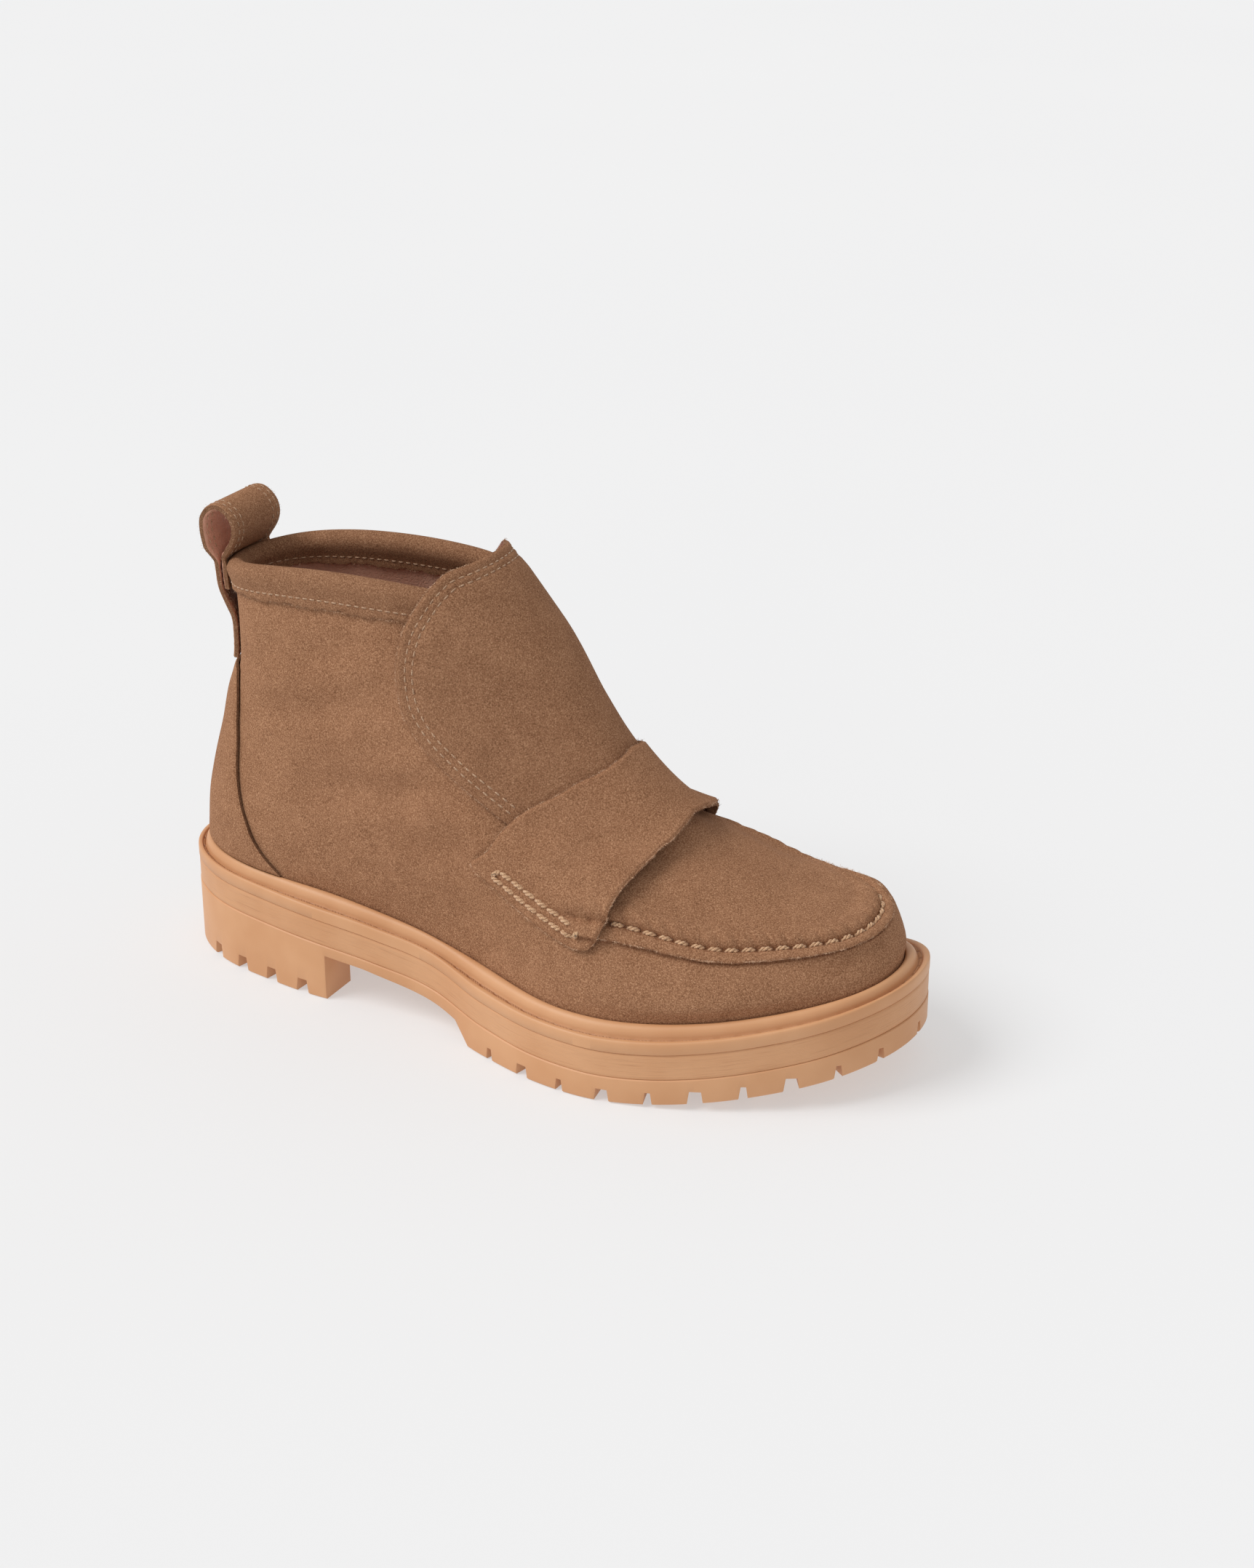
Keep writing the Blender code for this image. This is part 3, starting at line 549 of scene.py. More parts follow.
# %% Suede finishes
def suede(name, shade=1.0):
    """Brushed brown suede. Shade makes it lighter or darker as a whole."""
    look = Finish(name, Roughness=0.92, Specular_IOR_Level=0.10, Sheen_Weight=0.10, Sheen_Roughness=0.45)
    look.shader.inputs["Sheen Tint"].default_value = tint(205, 145, 100)
    fibres = look.noise(4200, 2.0, 0.65)
    tufts = look.noise(1900, 2.5, 0.6)
    clouds = look.noise(95, 3.0, 0.55, distortion=0.6)
    drift = look.noise(17, 2.0, 0.5)
    speckle = fibres * 0.5 + tufts * 0.5
    deep = tint(92 * shade, 59 * shade, 38 * shade)
    middle = tint(155 * shade, 110 * shade, 80 * shade)
    pale = tint(210 * shade, 164 * shade, 128 * shade)
    nap = look.node("ShaderNodeValToRGB", {"stops": [(0.32, deep[:3]), (0.50, middle[:3]), (0.68, pale[:3])]},
                    {"Fac": speckle})
    brushed = (clouds * 0.6 + drift * 0.4).between(0.36, 0.66)
    dark_nap = look.blend(0.10, nap, deep)
    light_nap = look.blend(0.07, nap, pale)
    colour = look.blend(brushed, dark_nap, light_nap)
    height = speckle * 0.9 + clouds * 0.1
    return look.feed(Base_Color=colour, Normal=look.bump(height, 0.0004, 0.7))


SUEDE = suede("brown_suede")
BINDING_SUEDE = suede("collar_suede", 0.93)
PANEL_SUEDE = suede("panel_suede", 0.95)
RAW_EDGE = suede("raw_cut_edge", 0.84)
DARK_EDGE = suede("dark_cut_edge", 0.75)

# %% [markdown]
# ## Lining leather, rubber and thread
# The lining is smooth grain leather with a low shine and fine cracked grain. The sole is honey-coloured gum
# rubber, which is satin and almost even, with faint clouds. Thread is a shiny twisted yarn.

# %% Lining, rubber and thread
def lining_leather():
    look = Finish("pink_tan_lining", Roughness=0.55, Specular_IOR_Level=0.35)
    grain = look.node("ShaderNodeTexVoronoi", {"feature": "DISTANCE_TO_EDGE"},
                      {"Vector": look.place(), "Scale": 700.0}, output="Distance")
    clouds = look.noise(45, 3.0)
    wrinkles = look.noise(160, 3.0, 0.6, distortion=1.5)
    colour = look.blend(clouds.between(0.3, 0.7), tint(200, 148, 124), tint(222, 175, 151))
    height = grain.between(0.0, 0.25) * 0.4 + wrinkles
    return look.feed(Base_Color=colour, Normal=look.bump(height, 0.0006, 0.35))


def gum_rubber(name, ribbed=0.0, painted_shadow=0.0):
    """Honey rubber. Ribbed adds fine level lines that follow the sole, from the stored height, and darkens
    their valleys as painted shade. The third argument paints shade into the welt's channel from a stored
    value."""
    look = Finish(name, Roughness=0.5, Specular_IOR_Level=0.42)
    clouds = look.noise(28, 3.0, 0.55)
    pores = look.noise(1500, 2.0, 0.6)
    colour = look.blend(clouds.between(0.3, 0.7), tint(206, 150, 105), tint(216, 163, 119))
    height = pores * 0.12 + clouds * 0.1
    if ribbed:
        run = look.stored("run")
        level = look.stored("rise")
        along = look.node("ShaderNodeCombineXYZ", inputs={"X": run * 28.0, "Y": level * 2100.0})
        streaks = look.noise(1.0, 2.0, 0.6, at=along)
        fine = look.node("ShaderNodeCombineXYZ", inputs={"X": run * 90.0, "Y": level * 4500.0})
        hairlines = look.noise(1.0, 1.0, 0.5, at=fine)
        lines = (streaks * 0.6 + hairlines * 0.4) * ribbed
        height = height + lines
        # Painted shade: where the rib lines sink, the colour is darkened as if in the valleys' shadow
        colour = look.blend(lines.between(0.30, 0.44), look.blend(0.55, colour, tint(168, 110, 70)), colour)
    # Painted shade: the welt's channel is darkened in the colour where shadow falls between the moulded
    # stitches
    if painted_shadow:
        colour = look.blend(look.stored("groove") * painted_shadow, colour, tint(140, 88, 54))
    roughness = pores * 0.12 + 0.42
    return look.feed(Base_Color=colour, Roughness=roughness, Normal=look.bump(height, 0.0004, 0.6))


def thread(name, light, dark):
    look = Finish(name, Roughness=0.62, Specular_IOR_Level=0.35, Sheen_Weight=0.3)
    yarn = look.noise(3200, 2.0, 0.6)
    colour = look.blend(yarn.between(0.35, 0.65), tint(*dark), tint(*light))
    return look.feed(Base_Color=colour, Normal=look.bump(yarn, 0.0003, 0.6))


LINING = lining_leather()
RUBBER = gum_rubber("gum_rubber")
RIBBED_RUBBER = gum_rubber("ribbed_gum_rubber", ribbed=1.0)
# This rubber carries the painted shade in the welt's channel
WELT_RUBBER = gum_rubber("welt_gum_rubber", painted_shadow=0.85)
GOLD_THREAD = thread("gold_thread", (230, 192, 152), (182, 136, 98))
FINE_THREAD = thread("fine_beige_thread", (212, 176, 142), (150, 112, 84))
print("finishes:", len(bpy.data.materials))

# %% [markdown]
# ## Creases
# Worn-in suede folds softly where the foot bends. Random noise looks like crumpled paper, so each crease is
# placed as a short line on the shoe, with its own depth and width, and the leather is pushed in
# along it and out beside it. Overlays use the same field, so they bend with the leather under them.

# %% Creases placed one by one
CREASES = (
    # level and place of the start, level and place of the end, depth and width in metres
    (6.55, -0.300, 6.20, -0.345, 0.0005, 0.0050),
    (7.90, -0.400, 7.40, -0.470, 0.0006, 0.0045),
    (7.35, -0.430, 6.90, -0.520, 0.0007, 0.0050),
    (6.80, -0.520, 6.30, -0.620, 0.0007, 0.0060),
    (8.60, -0.480, 8.10, -0.600, 0.0006, 0.0055),
    (9.20, -0.520, 8.80, -0.640, 0.0004, 0.0050),
    (7.90, -0.640, 7.50, -0.740, 0.0006, 0.0060),
    (6.10, -0.560, 5.60, -0.680, 0.0006, 0.0060),
    (5.20, -0.520, 4.70, -0.600, 0.0005, 0.0060),
    (8.90, -0.700, 8.40, -0.780, 0.0005, 0.0055),
    (7.90, 0.400, 7.40, 0.480, 0.0007, 0.0050),
    (7.30, 0.440, 6.80, 0.540, 0.0007, 0.0050),
    (8.60, 0.500, 8.10, 0.620, 0.0006, 0.0055),
    (6.40, 0.560, 6.00, 0.680, 0.0006, 0.0060),
    (5.70, -0.180, 5.90, -0.060, 0.0004, 0.0070),
    (6.10, 0.060, 5.90, 0.170, 0.0004, 0.0070),
    (5.30, 0.210, 5.80, 0.260, 0.0005, 0.0050),
    (5.35, -0.240, 5.75, -0.280, 0.0005, 0.0050),
)
CREASE_STEPS = 7


def crease_lines():
    lines = []
    for level_a, place_a, level_b, place_b, depth, width in CREASES:
        level = np.linspace(level_a, level_b, CREASE_STEPS)
        place = np.linspace(place_a, place_b, CREASE_STEPS)
        lines.append((surface(level, place), depth, width))
    return lines


CREASE_LINES = crease_lines()


def crease_height(points):
    """How far the leather at each point is pushed out, or in where it is below zero."""
    height = np.zeros(points.shape[:-1])
    for line, depth, width in CREASE_LINES:
        nearest = np.full(height.shape, np.inf)
        for start, end in zip(line[:-1], line[1:]):
            along = end - start
            share = np.clip((points - start) @ along / (along @ along), 0, 1)
            gap = np.linalg.norm(points - start - share[..., None] * along, axis=-1)
            nearest = np.minimum(nearest, gap)
        valley = np.exp(-(nearest / width) ** 2)
        shoulder = np.exp(-((nearest - 1.9 * width) / width) ** 2)
        height += depth * (0.55 * shoulder - valley)
    return height


print(len(CREASES), "creases, the deepest", max(row[4] for row in CREASES) * 1000, "mm")

# %% [markdown]
# ## The moccasin seam
# A moccasin's plug is gathered onto the vamp by a thick hand stitch. The vamp's raw edge stands out below the
# stitches as a flange, the plug rolls up above them, and the thread pulls a small dip into the leather
# between two stitches. All of it is relief on the rings, spaced by the true length along the seam.

# %% The seam's relief
SEAM_PITCH = 0.0056
SEAM_STITCH = 0.0041
SEAM_THREAD = 0.00155
STITCH_AT_TOE = -0.017
SEAM_PLACES = np.linspace(-0.43, 0.43, 1721)
CLIMB_PLACES = (0.24, 0.36)
GATHER = 0.40
PINCH_WIDTH = 0.0011
PINCH_DEPTH = 0.0010


def seam_level(place):
    return SEAM + SEAM_CLIMB * ease(np.abs(place), *CLIMB_PLACES)


def lengths_along(points):
    """Distance run along a line of points."""
    return np.r_[0, np.cumsum(np.linalg.norm(np.diff(points, axis=0), axis=1))]


SEAM_RUN = lengths_along(surface(seam_level(SEAM_PLACES), SEAM_PLACES))
SEAM_RUN -= np.interp(STITCH_AT_TOE, SEAM_PLACES, SEAM_RUN)
# Height across the seam in metres, by levels above it: the raw flange edge, the stitched groove, the roll
SEAM_PROFILE = np.array([
    (-0.680, 0.00000), (-0.560, -0.00050), (-0.520, -0.00060), (-0.500, 0.00140), (-0.470, 0.00175),
    (-0.300, 0.00180), (-0.140, 0.00160), (-0.070, 0.00080), (0.000, 0.00010), (0.060, 0.00060),
    (0.130, 0.00165), (0.240, 0.00235), (0.380, 0.00240), (0.560, 0.00180), (0.700, 0.00095),
    (0.800, 0.00050), (0.950, 0.00045),
    (1.300, 0.00000),
])


def waver(run, *waves):
    """Irregular wave along a length: a sum of sines, each a wavelength and a size."""
    return sum(size * np.sin(2 * pi * run / wave + 3.1 * k + run * 40)
               for k, (wave, size) in enumerate(waves))


def seam_relief(above, place):
    """Height of the leather near the seam. Above is in levels from the stitch line."""
    run = np.interp(place, SEAM_PLACES, SEAM_RUN)
    from_hole = ((run / SEAM_PITCH) % 1 - 0.5) * SEAM_PITCH
    pinch = np.exp(-(from_hole / PINCH_WIDTH) ** 2)
    height = np.interp(above, SEAM_PROFILE[:, 0], SEAM_PROFILE[:, 1])
    height = height * (1 - GATHER * pinch * np.exp(-((above - 0.1) / 0.28) ** 2))
    height = height - PINCH_DEPTH * pinch * np.exp(-(above / 0.09) ** 2)
    roll = np.clip(np.interp(above, (0.0, 0.3, 0.8), (0.0, 1.0, 0.0)), 0, 1)
    height = height + roll * waver(run, (0.019, 0.00012), (0.0083, 0.00010))
    return height * (1 - ease(np.abs(place), 0.38, 0.42))


def leather(level, place, offset=0.0, seamed=True):
    """Point on the outside of the boot, with the seam's relief and the creases."""
    level, place = np.broadcast_arrays(np.asarray(level, float), np.asarray(place, float))
    base = surface(level, place)
    height = crease_height(base) + offset
    if seamed:
        height = height + seam_relief(level - seam_level(place), place)
    return base + outward(level, place) * height[..., None]


print("seam, mm:", round((SEAM_RUN[-1] - SEAM_RUN[0]) * 1000), "with a stitch every", SEAM_PITCH * 1000)

# %% [markdown]
# ## The upper
# The upper is one closed shell: suede outside, lining inside, and a real wall between. Its rows lie close
# together at the seam, where the raw flange edge needs a sharp step, and its columns are closest at the toe.

# %% The upper
TOE_REACH = 0.46
FOLLOW_BEGINS = (2.3, 3.4)
FOLLOW_ENDS = (5.6, 6.8)
TOE_COLUMNS = 500
REAR_COLUMNS = 110
SHELL_ROWS = np.r_[
    np.linspace(0, 3.4, 14), np.linspace(3.5, 3.66, 3), 3.680, 3.700, 3.715, np.linspace(3.74, 4.02, 6),
    np.linspace(4.06, 4.50, 15), np.linspace(4.54, 5.16, 14), np.linspace(5.24, RIM, 66),
]
LINING_ROWS = np.linspace(RIM, 0, 20)
SHELL_PLACES = np.r_[
    np.linspace(-TOE_REACH, TOE_REACH, TOE_COLUMNS + 1),
    np.linspace(TOE_REACH, 2 - TOE_REACH, REAR_COLUMNS + 1)[1:-1],
]


def upper_rings():
    place = SHELL_PLACES
    run = np.interp(place, SEAM_PLACES, SEAM_RUN)
    rings = []
    for count, row in enumerate(np.r_[SHELL_ROWS, LINING_ROWS]):
        follow = ease(row, *FOLLOW_BEGINS) * (1 - ease(row, *FOLLOW_ENDS))
        level = row + (seam_level(place) - SEAM) * follow
        relief = -WALL
        if count < len(SHELL_ROWS):
            frayed = np.exp(-((row - SEAM + 0.5) / 0.12) ** 2)
            level = level + frayed * waver(run, (0.0131, 0.022), (0.0047, 0.012), (0.0023, 0.008))
            relief = seam_relief(row - SEAM if follow > 0.5 else row - seam_level(place), place)
        base = surface(level, place)
        height = crease_height(base) + relief
        rings.append(base + outward(level, place) * height[:, None])
    rings[-1][:, 2] = first_seam(rings[-1][:, 0])
    return rings


UPPER_KINDS = [0] * len(SHELL_ROWS) + [1] * len(LINING_ROWS)
upper = ring_piece("suede_upper", upper_rings(), [SUEDE, LINING], UPPER_KINDS)
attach(upper, "root")
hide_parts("upper")
print("upper:", len(upper.data.polygons), "faces")

# %% [markdown]
# ## Sole layers
# The sole is moulded in three layers. The welt carries an imitation rope stitch in its channel, the band
# under it is finely ribbed, and the outsole has the lugs. The layers are rings round the outline, and the
# notches between the lugs are cut with booleans, as the mould's ribs would leave them.

# %% The welt and its moulded stitches
WELT_COLUMNS = 2300
ROPE_PITCH = 0.0072
ROPE_DASH = 0.0060
ROPE_STRAND = 0.00125
ROPE_HEIGHT = 0.00070
# From the outer lower corner over the lip, the channel and the bead: share of the way from the sole's edge
# to the upper, height as a share of BEAD_HEIGHT
WELT_PROFILE = np.array([
    (0.000, -0.34), (0.012, -0.18), (0.050, -0.06), (0.110, -0.01), (0.180, 0.00), (0.235, -0.01),
    (0.265, -0.06), (0.285, -0.18), (0.305, -0.25), (0.33, -0.27), (0.36, -0.27), (0.39, -0.27),
    (0.42, -0.27), (0.45, -0.25), (0.475, -0.16), (0.50, 0.05), (0.54, 0.34), (0.60, 0.62),
    (0.68, 0.84), (0.78, 0.96), (0.88, 1.00), (0.96, 0.96),
])


def rope_height(run, share):
    """Moulded rope stitch in the welt's channel: dashes of slanting strands."""
    place_in_dash = run % ROPE_PITCH
    dash = ease(place_in_dash, 0, 0.0007) * (1 - ease(place_in_dash, ROPE_DASH - 0.0007, ROPE_DASH))
    across = (share - 0.375) / 0.085
    strand = 0.5 + 0.5 * np.cos(2 * pi * (run + across * 0.0009) / ROPE_STRAND)
    return ROPE_HEIGHT * dash * np.clip(1 - across**2, 0, None) * (0.35 + 0.65 * strand)


def painted_channel_shade(run, share):
    """Painted shade in the channel, darkest beside and between the moulded stitches where shadow falls."""
    across = (share - 0.375) / 0.1
    return np.clip(1 - across**4, 0, 1) * (1 - 0.8 * rope_height(run, share) / ROPE_HEIGHT)


def welt_rings():
    place = np.linspace(-1, 1, WELT_COLUMNS + 1)[:-1]
    edge, _ = sole_edge(place)
    outer = np.column_stack([edge, shelf(edge[:, 0])])
    run = lengths_along(outer)
    foot = surface(0.0, place) + outward(0.0 * place, place) * GAP
    middle = surface(0.5, place) + outward(0.5 + 0 * place, place) * GAP
    top = surface(0.9, place) + outward(0.9 + 0 * place, place) * GAP
    corner, _ = sole_edge(place, 0.0004)
    rings = [np.column_stack([corner, first_seam(corner[:, 0])])]
    rings.append(np.column_stack([edge, first_seam(edge[:, 0]) + 0.0004]))
    for share, height in WELT_PROFILE:
        point = outer + (middle - outer) * share
        point[:, 2] = shelf(point[:, 0]) + height * BEAD_HEIGHT + rope_height(run, share)
        rings.append(point)
    top[:, 2] = shelf(top[:, 0]) + 0.86 * BEAD_HEIGHT
    # Painted shade for the channel, one value per ring of the profile
    painted_shades = [painted_channel_shade(run, share) for share in WELT_PROFILE[:, 0]]
    clear = [0 * run]
    return rings + [top, middle, foot], clear * 2 + painted_shades + clear * 3


rings, painted_shades = welt_rings()
welt = ring_piece("moulded_welt", rings, [WELT_RUBBER])
# The welt stores its painted channel shade at every point
welt.data.attributes.new("groove", "FLOAT", "POINT").data.foreach_set("value", np.concatenate(painted_shades))
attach(welt, "root")
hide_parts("welt")
print("welt:", len(welt.data.polygons), "faces")

# %% The ribbed band
BAND_COLUMNS = 900
BAND_ROWS = 14
BAND_GAP = 0.00010


def ribbed_band():
    place = np.linspace(-1, 1, BAND_COLUMNS + 1)[:-1]
    run = lengths_along(sole_edge(place)[0])
    rings = []
    rises = np.linspace(0, 1, BAND_ROWS)
    for rise in rises:
        corner = 0.0003 * (np.clip(1 - rise / 0.05, 0, 1) + np.clip(1 - (1 - rise) / 0.05, 0, 1))
        spot, _ = sole_edge(place, corner + 0.00015)
        low = second_seam(spot[:, 0])
        high = first_seam(spot[:, 0]) - BAND_GAP
        rings.append(np.column_stack([spot, low + (high - low) * rise]))
    piece = capped_piece("ribbed_midsole", rings, [RIBBED_RUBBER])
    levels = np.repeat(rises * RIBBED_BAND, len(place))
    for name, values in (("run", np.tile(run, BAND_ROWS)), ("rise", levels)):
        piece.data.attributes.new(name, "FLOAT", "POINT").data.foreach_set("value", values)
    return piece


midsole = ribbed_band()
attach(midsole, "root")
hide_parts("midsole")
print("ribbed band:", len(midsole.data.polygons), "faces")

# %% Cuts in the outsole
def add_prism(body, corners, start, end, origin, across, along):
    """Prism in a bmesh from corners of (across, up), run from start to end along a level direction."""
    across = np.r_[across, 0]
    along = np.r_[along, 0]
    ends = []
    for reach in (start, end):
        points = [origin + across * a + np.array([0, 0, up]) + along * reach - ORIGIN for a, up in corners]
        ends.append([body.verts.new(point) for point in points])
    near, far = ends
    body.faces.new(near)
    body.faces.new(far[::-1])
    for i in range(len(near)):
        j = (i + 1) % len(near)
        body.faces.new((near[j], near[i], far[i], far[j]))


def edge_run(side):
    """Places on one side of the outline, with their points and distances from the toe tip."""
    places = np.linspace(0, 1, 801) * side
    points, _ = sole_edge(places)
    return places, points, lengths_along(points)


def place_from_toe(distance, side):
    """Place on one side of the outline at a distance from the toe tip, measured along the edge."""
    places, _, run = edge_run(side)
    return np.interp(distance, run, places)


def breast_distance(side):
    """Distance from the toe tip to the heel breast along one side of the edge."""
    _, points, run = edge_run(side)
    return np.interp(-HEEL_LENGTH, -points[:, 0], run)


def add_notch(body, place, width, height):
    """Cut for one side notch, wider at the floor, running in from the edge."""
    edge, inward = sole_edge(np.array([place]))
    edge, inward = edge[0], inward[0]
    across = np.array([-inward[1], inward[0]])
    floor = spring(edge[0])
    flare = 0.15 * height
    below = -2 * height
    corners = [(-width / 2 - 3 * flare, below), (width / 2 + 3 * flare, below), (width / 2, height),
               (-width / 2, height)]
    add_prism(body, corners, -NOTCH_DEPTH / 4, NOTCH_DEPTH, np.r_[edge, floor], across, inward)


def add_arch(body):
    """Cut under the arch, from the heel breast to the first lug of the forepart."""
    depth = -0.5 * ARCH_HEIGHT
    corners = [(HEEL_LENGTH, depth), (HEEL_LENGTH, ARCH_HEIGHT)]
    spots = np.linspace(ARCH_TABLE[0, 0], ARCH_TABLE[-2, 0], 7)
    heights = smooth(ARCH_TABLE[:-1, 0], ARCH_TABLE[:-1, 1], spots)
    corners += [(x * SOLE_LENGTH, h * ARCH_HEIGHT) for x, h in zip(spots, heights)]
    corners += [(ARCH_TABLE[-1, 0] * SOLE_LENGTH, ARCH_TABLE[-1, 1] * ARCH_HEIGHT)]
    corners += [(ARCH_TABLE[-1, 0] * SOLE_LENGTH, depth)]
    add_prism(body, corners, -BALL_WIDTH, BALL_WIDTH, np.zeros(3), np.array([1.0, 0.0]), np.array([0.0, 1.0]))


def add_breast_recess(body):
    half = BREAST_RECESS_WIDTH / 2
    middle = sole_middle(turn_of(HEEL_LENGTH / SOLE_LENGTH))
    corners = [(-half, -ARCH_HEIGHT), (half, -ARCH_HEIGHT), (half, ARCH_HEIGHT), (-half, ARCH_HEIGHT)]
    origin = np.array([HEEL_LENGTH, middle, 0.0])
    ahead = BREAST_RECESS_DEPTH / 8
    add_prism(body, corners, -BREAST_RECESS_DEPTH, ahead, origin, np.array([0.0, 1.0]), np.array([1.0, 0.0]))


def add_heel_notches(body):
    for side in (-1, 1):
        breast_run = breast_distance(side)
        for k in range(HEEL_NOTCHES):
            place = place_from_toe(breast_run + BREAST_LUG + k * HEEL_NOTCH_PITCH, side)
            add_notch(body, place, WIDE_NOTCH, HEEL_NOTCH_HEIGHT)


def add_fore_notches(body):
    """Side notches round the forepart: wide and narrow in turn, but narrow ones only at the toe."""
    for side in (-1, 1):
        run = TOE_LUG
        wide = False
        first_lug = ARCH_TABLE[-1, 0] * SOLE_LENGTH + NARROW_NOTCH * 2
        while sole_edge(place_from_toe(run, side))[0][0] > first_lug:
            add_notch(body, place_from_toe(run, side), WIDE_NOTCH if wide else NARROW_NOTCH, NOTCH_HEIGHT)
            wide = not wide and run > TOE_LUG
            run += NOTCH_PITCH
    add_notch(body, 0.0, NARROW_NOTCH, NOTCH_HEIGHT)


def add_grooves(body):
    """Cross grooves in the middle of the forepart, between the side notches."""
    half = GROOVE_LENGTH / 2
    for k in range(GROOVES):
        x = SOLE_LENGTH * GROOVE_START + k * GROOVE_PITCH
        turn = turn_of(x / SOLE_LENGTH)
        reach = sole_half(turn) - NOTCH_DEPTH - 2 * WIDE_NOTCH
        corners = [(-half, -GROOVE_DEPTH), (half, -GROOVE_DEPTH), (half, GROOVE_DEPTH), (-half, GROOVE_DEPTH)]
        origin = np.array([x, sole_middle(turn), spring(x)])
        add_prism(body, corners, -reach, reach, origin, np.array([1.0, 0.0]), np.array([0.0, 1.0]))

# %% The outsole
SOLE_COLUMNS = 480
CORNER_ROUND = 0.0004


def outsole_block():
    place = np.linspace(-1, 1, SOLE_COLUMNS + 1)[:-1]
    rings = []
    for height, inset in (
        (spring, EDGE_ROUNDING),
        (lambda x: spring(x) + EDGE_ROUNDING, 0),
        (lambda x: (spring(x) + second_seam(x)) / 2, 0),
        (lambda x: second_seam(x) - BAND_GAP - CORNER_ROUND, 0),
        (lambda x: second_seam(x) - BAND_GAP, CORNER_ROUND),
    ):
        edge, _ = sole_edge(place, inset)
        rings.append(np.column_stack([edge, height(edge[:, 0])]))
    return capped_piece("lugged_outsole", rings, [RUBBER])


def cut_block(block):
    """Cuts every notch out of the block, rounds the corners and keeps the result as its mesh."""
    cutters = []
    for add in (add_arch, add_breast_recess, add_heel_notches, add_fore_notches, add_grooves):
        body = bmesh.new()
        add(body)
        bmesh.ops.recalc_face_normals(body, faces=body.faces)
        mesh = bpy.data.meshes.new(add.__name__)
        body.to_mesh(mesh)
        body.free()
        cutter = bpy.data.objects.new(add.__name__, mesh)
        PIECES.objects.link(cutter)
        cut = block.modifiers.new(add.__name__, "BOOLEAN")
        cut.operation = "DIFFERENCE"
        cut.object = cutter
        cutters.append(cutter)
    soft = block.modifiers.new("soft_corners", "BEVEL")
    soft.width = CORNER_ROUND
    soft.segments = 2
    soft.limit_method = "ANGLE"
    soft.angle_limit = radians(40)
    soft.use_clamp_overlap = True
    view = bpy.context.evaluated_depsgraph_get()
    mesh = bpy.data.meshes.new_from_object(block.evaluated_get(view))
    block.modifiers.clear()
    block.data = mesh
    mesh.shade_smooth()
    mesh.set_sharp_from_angle(angle=radians(32))
    for cutter in cutters:
        bpy.data.objects.remove(cutter, do_unlink=True)
    return block


outsole = cut_block(outsole_block())
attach(outsole, "root")
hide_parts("outsole")
print("outsole:", len(outsole.data.polygons), "faces")

# %% The insole
def insole_rings():
    place = np.linspace(-1, 1, 241)[:-1]
    inner = surface(0.0, place) - outward(0.0 * place, place) * (WALL + GAP)
    low = np.column_stack([inner[:, :2], first_seam(inner[:, 0])])
    middle = np.array([inner[:, 0].mean(), inner[:, 1].mean(), 0])
    rings = [low, low + np.array([0, 0, INSOLE_THICKNESS * 0.85])]
    for shrink in (0.004, 0.012, 0.03):
        ring = low + (middle - low) * np.array([shrink, shrink, 0])
        ring[:, 2] = first_seam(ring[:, 0]) + INSOLE_THICKNESS
        rings.append(ring)
    return rings


insole = capped_piece("leather_insole", insole_rings(), [LINING])
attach(insole, "root")
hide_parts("insole")
print("insole:", len(insole.data.polygons), "faces")

# %% [markdown]
# ## Overlays
# The tongue panel, strap, heel counter, collar band and pull loop are separate pieces of suede laid over the
# shell. Each is a sheet with real thickness and a raw, darker cut edge, and it follows the surface below by
# using the same levels and places with an offset.

# %% Sizes of the overlays
# Oval tongue panel: share of its length from the top, level of its edge, half span and rise of its middle
PANEL_TABLE = np.array([
    # share, level, half_span, middle_rise
    (0.00, 10.80, .115, .15), (0.08, 10.60, .190, .12), (0.17, 10.28, .248, .08), (0.27, 9.90, .312, .03),
    (0.38, 9.48, .384, 0), (0.50, 8.98, .432, 0), (0.60, 8.45, .448, .08), (0.70, 7.93, .434, .35),
    (0.82, 7.25, .385, .80), (1.00, 6.40, .350, 1.20),
])

# Saddle strap from its middle to its end: levels and places of its rear and its front edge
STRAP_TABLE = np.array([
    # share, rear_level, rear_place, front_level, front_place
    (0.0, 8.12, .000, 7.28, .000), (0.25, 7.98, .120, 7.10, .105), (0.50, 7.68, .245, 6.62, .215),
    (0.75, 7.00, .372, 5.54, .325), (1.0, 5.22, .497, 3.49, .391),
])
STRAP_SEATED = 0.93
STRAP_RAISED = 0.80

# Front edge of the heel counter: level, and place round the ring
COUNTER_TABLE = np.array([
    # level, place
    (1.03, .730), (2.46, .772), (3.87, .794), (5.04, .817), (6.27, .833), (7.30, .842), (7.85, .870),
])

# Pull loop seen from the side, from the end of its front leg over the top to the end of its rear leg.
# Reach is measured forward from where a leg lies on the shaft and height from the rim, as shares of
# LOOP_SIZE.
LOOP_SIZE = 0.025
LOOP_TABLE = np.array([
    # reach, height
    (-.065, -.34), (-.065, -.04), (-.02, .10), (.14, .22), (.26, .40), (.29, .58), (.22, .74), (.05, .85),
    (-.12, .81), (-.24, .66), (-.25, .44), (-.20, .18), (-.19, -.10), (-.180, -.34), (-.100, -.56),
    (-.010, -.78), (.000, -1.06), (.000, -1.36),
])

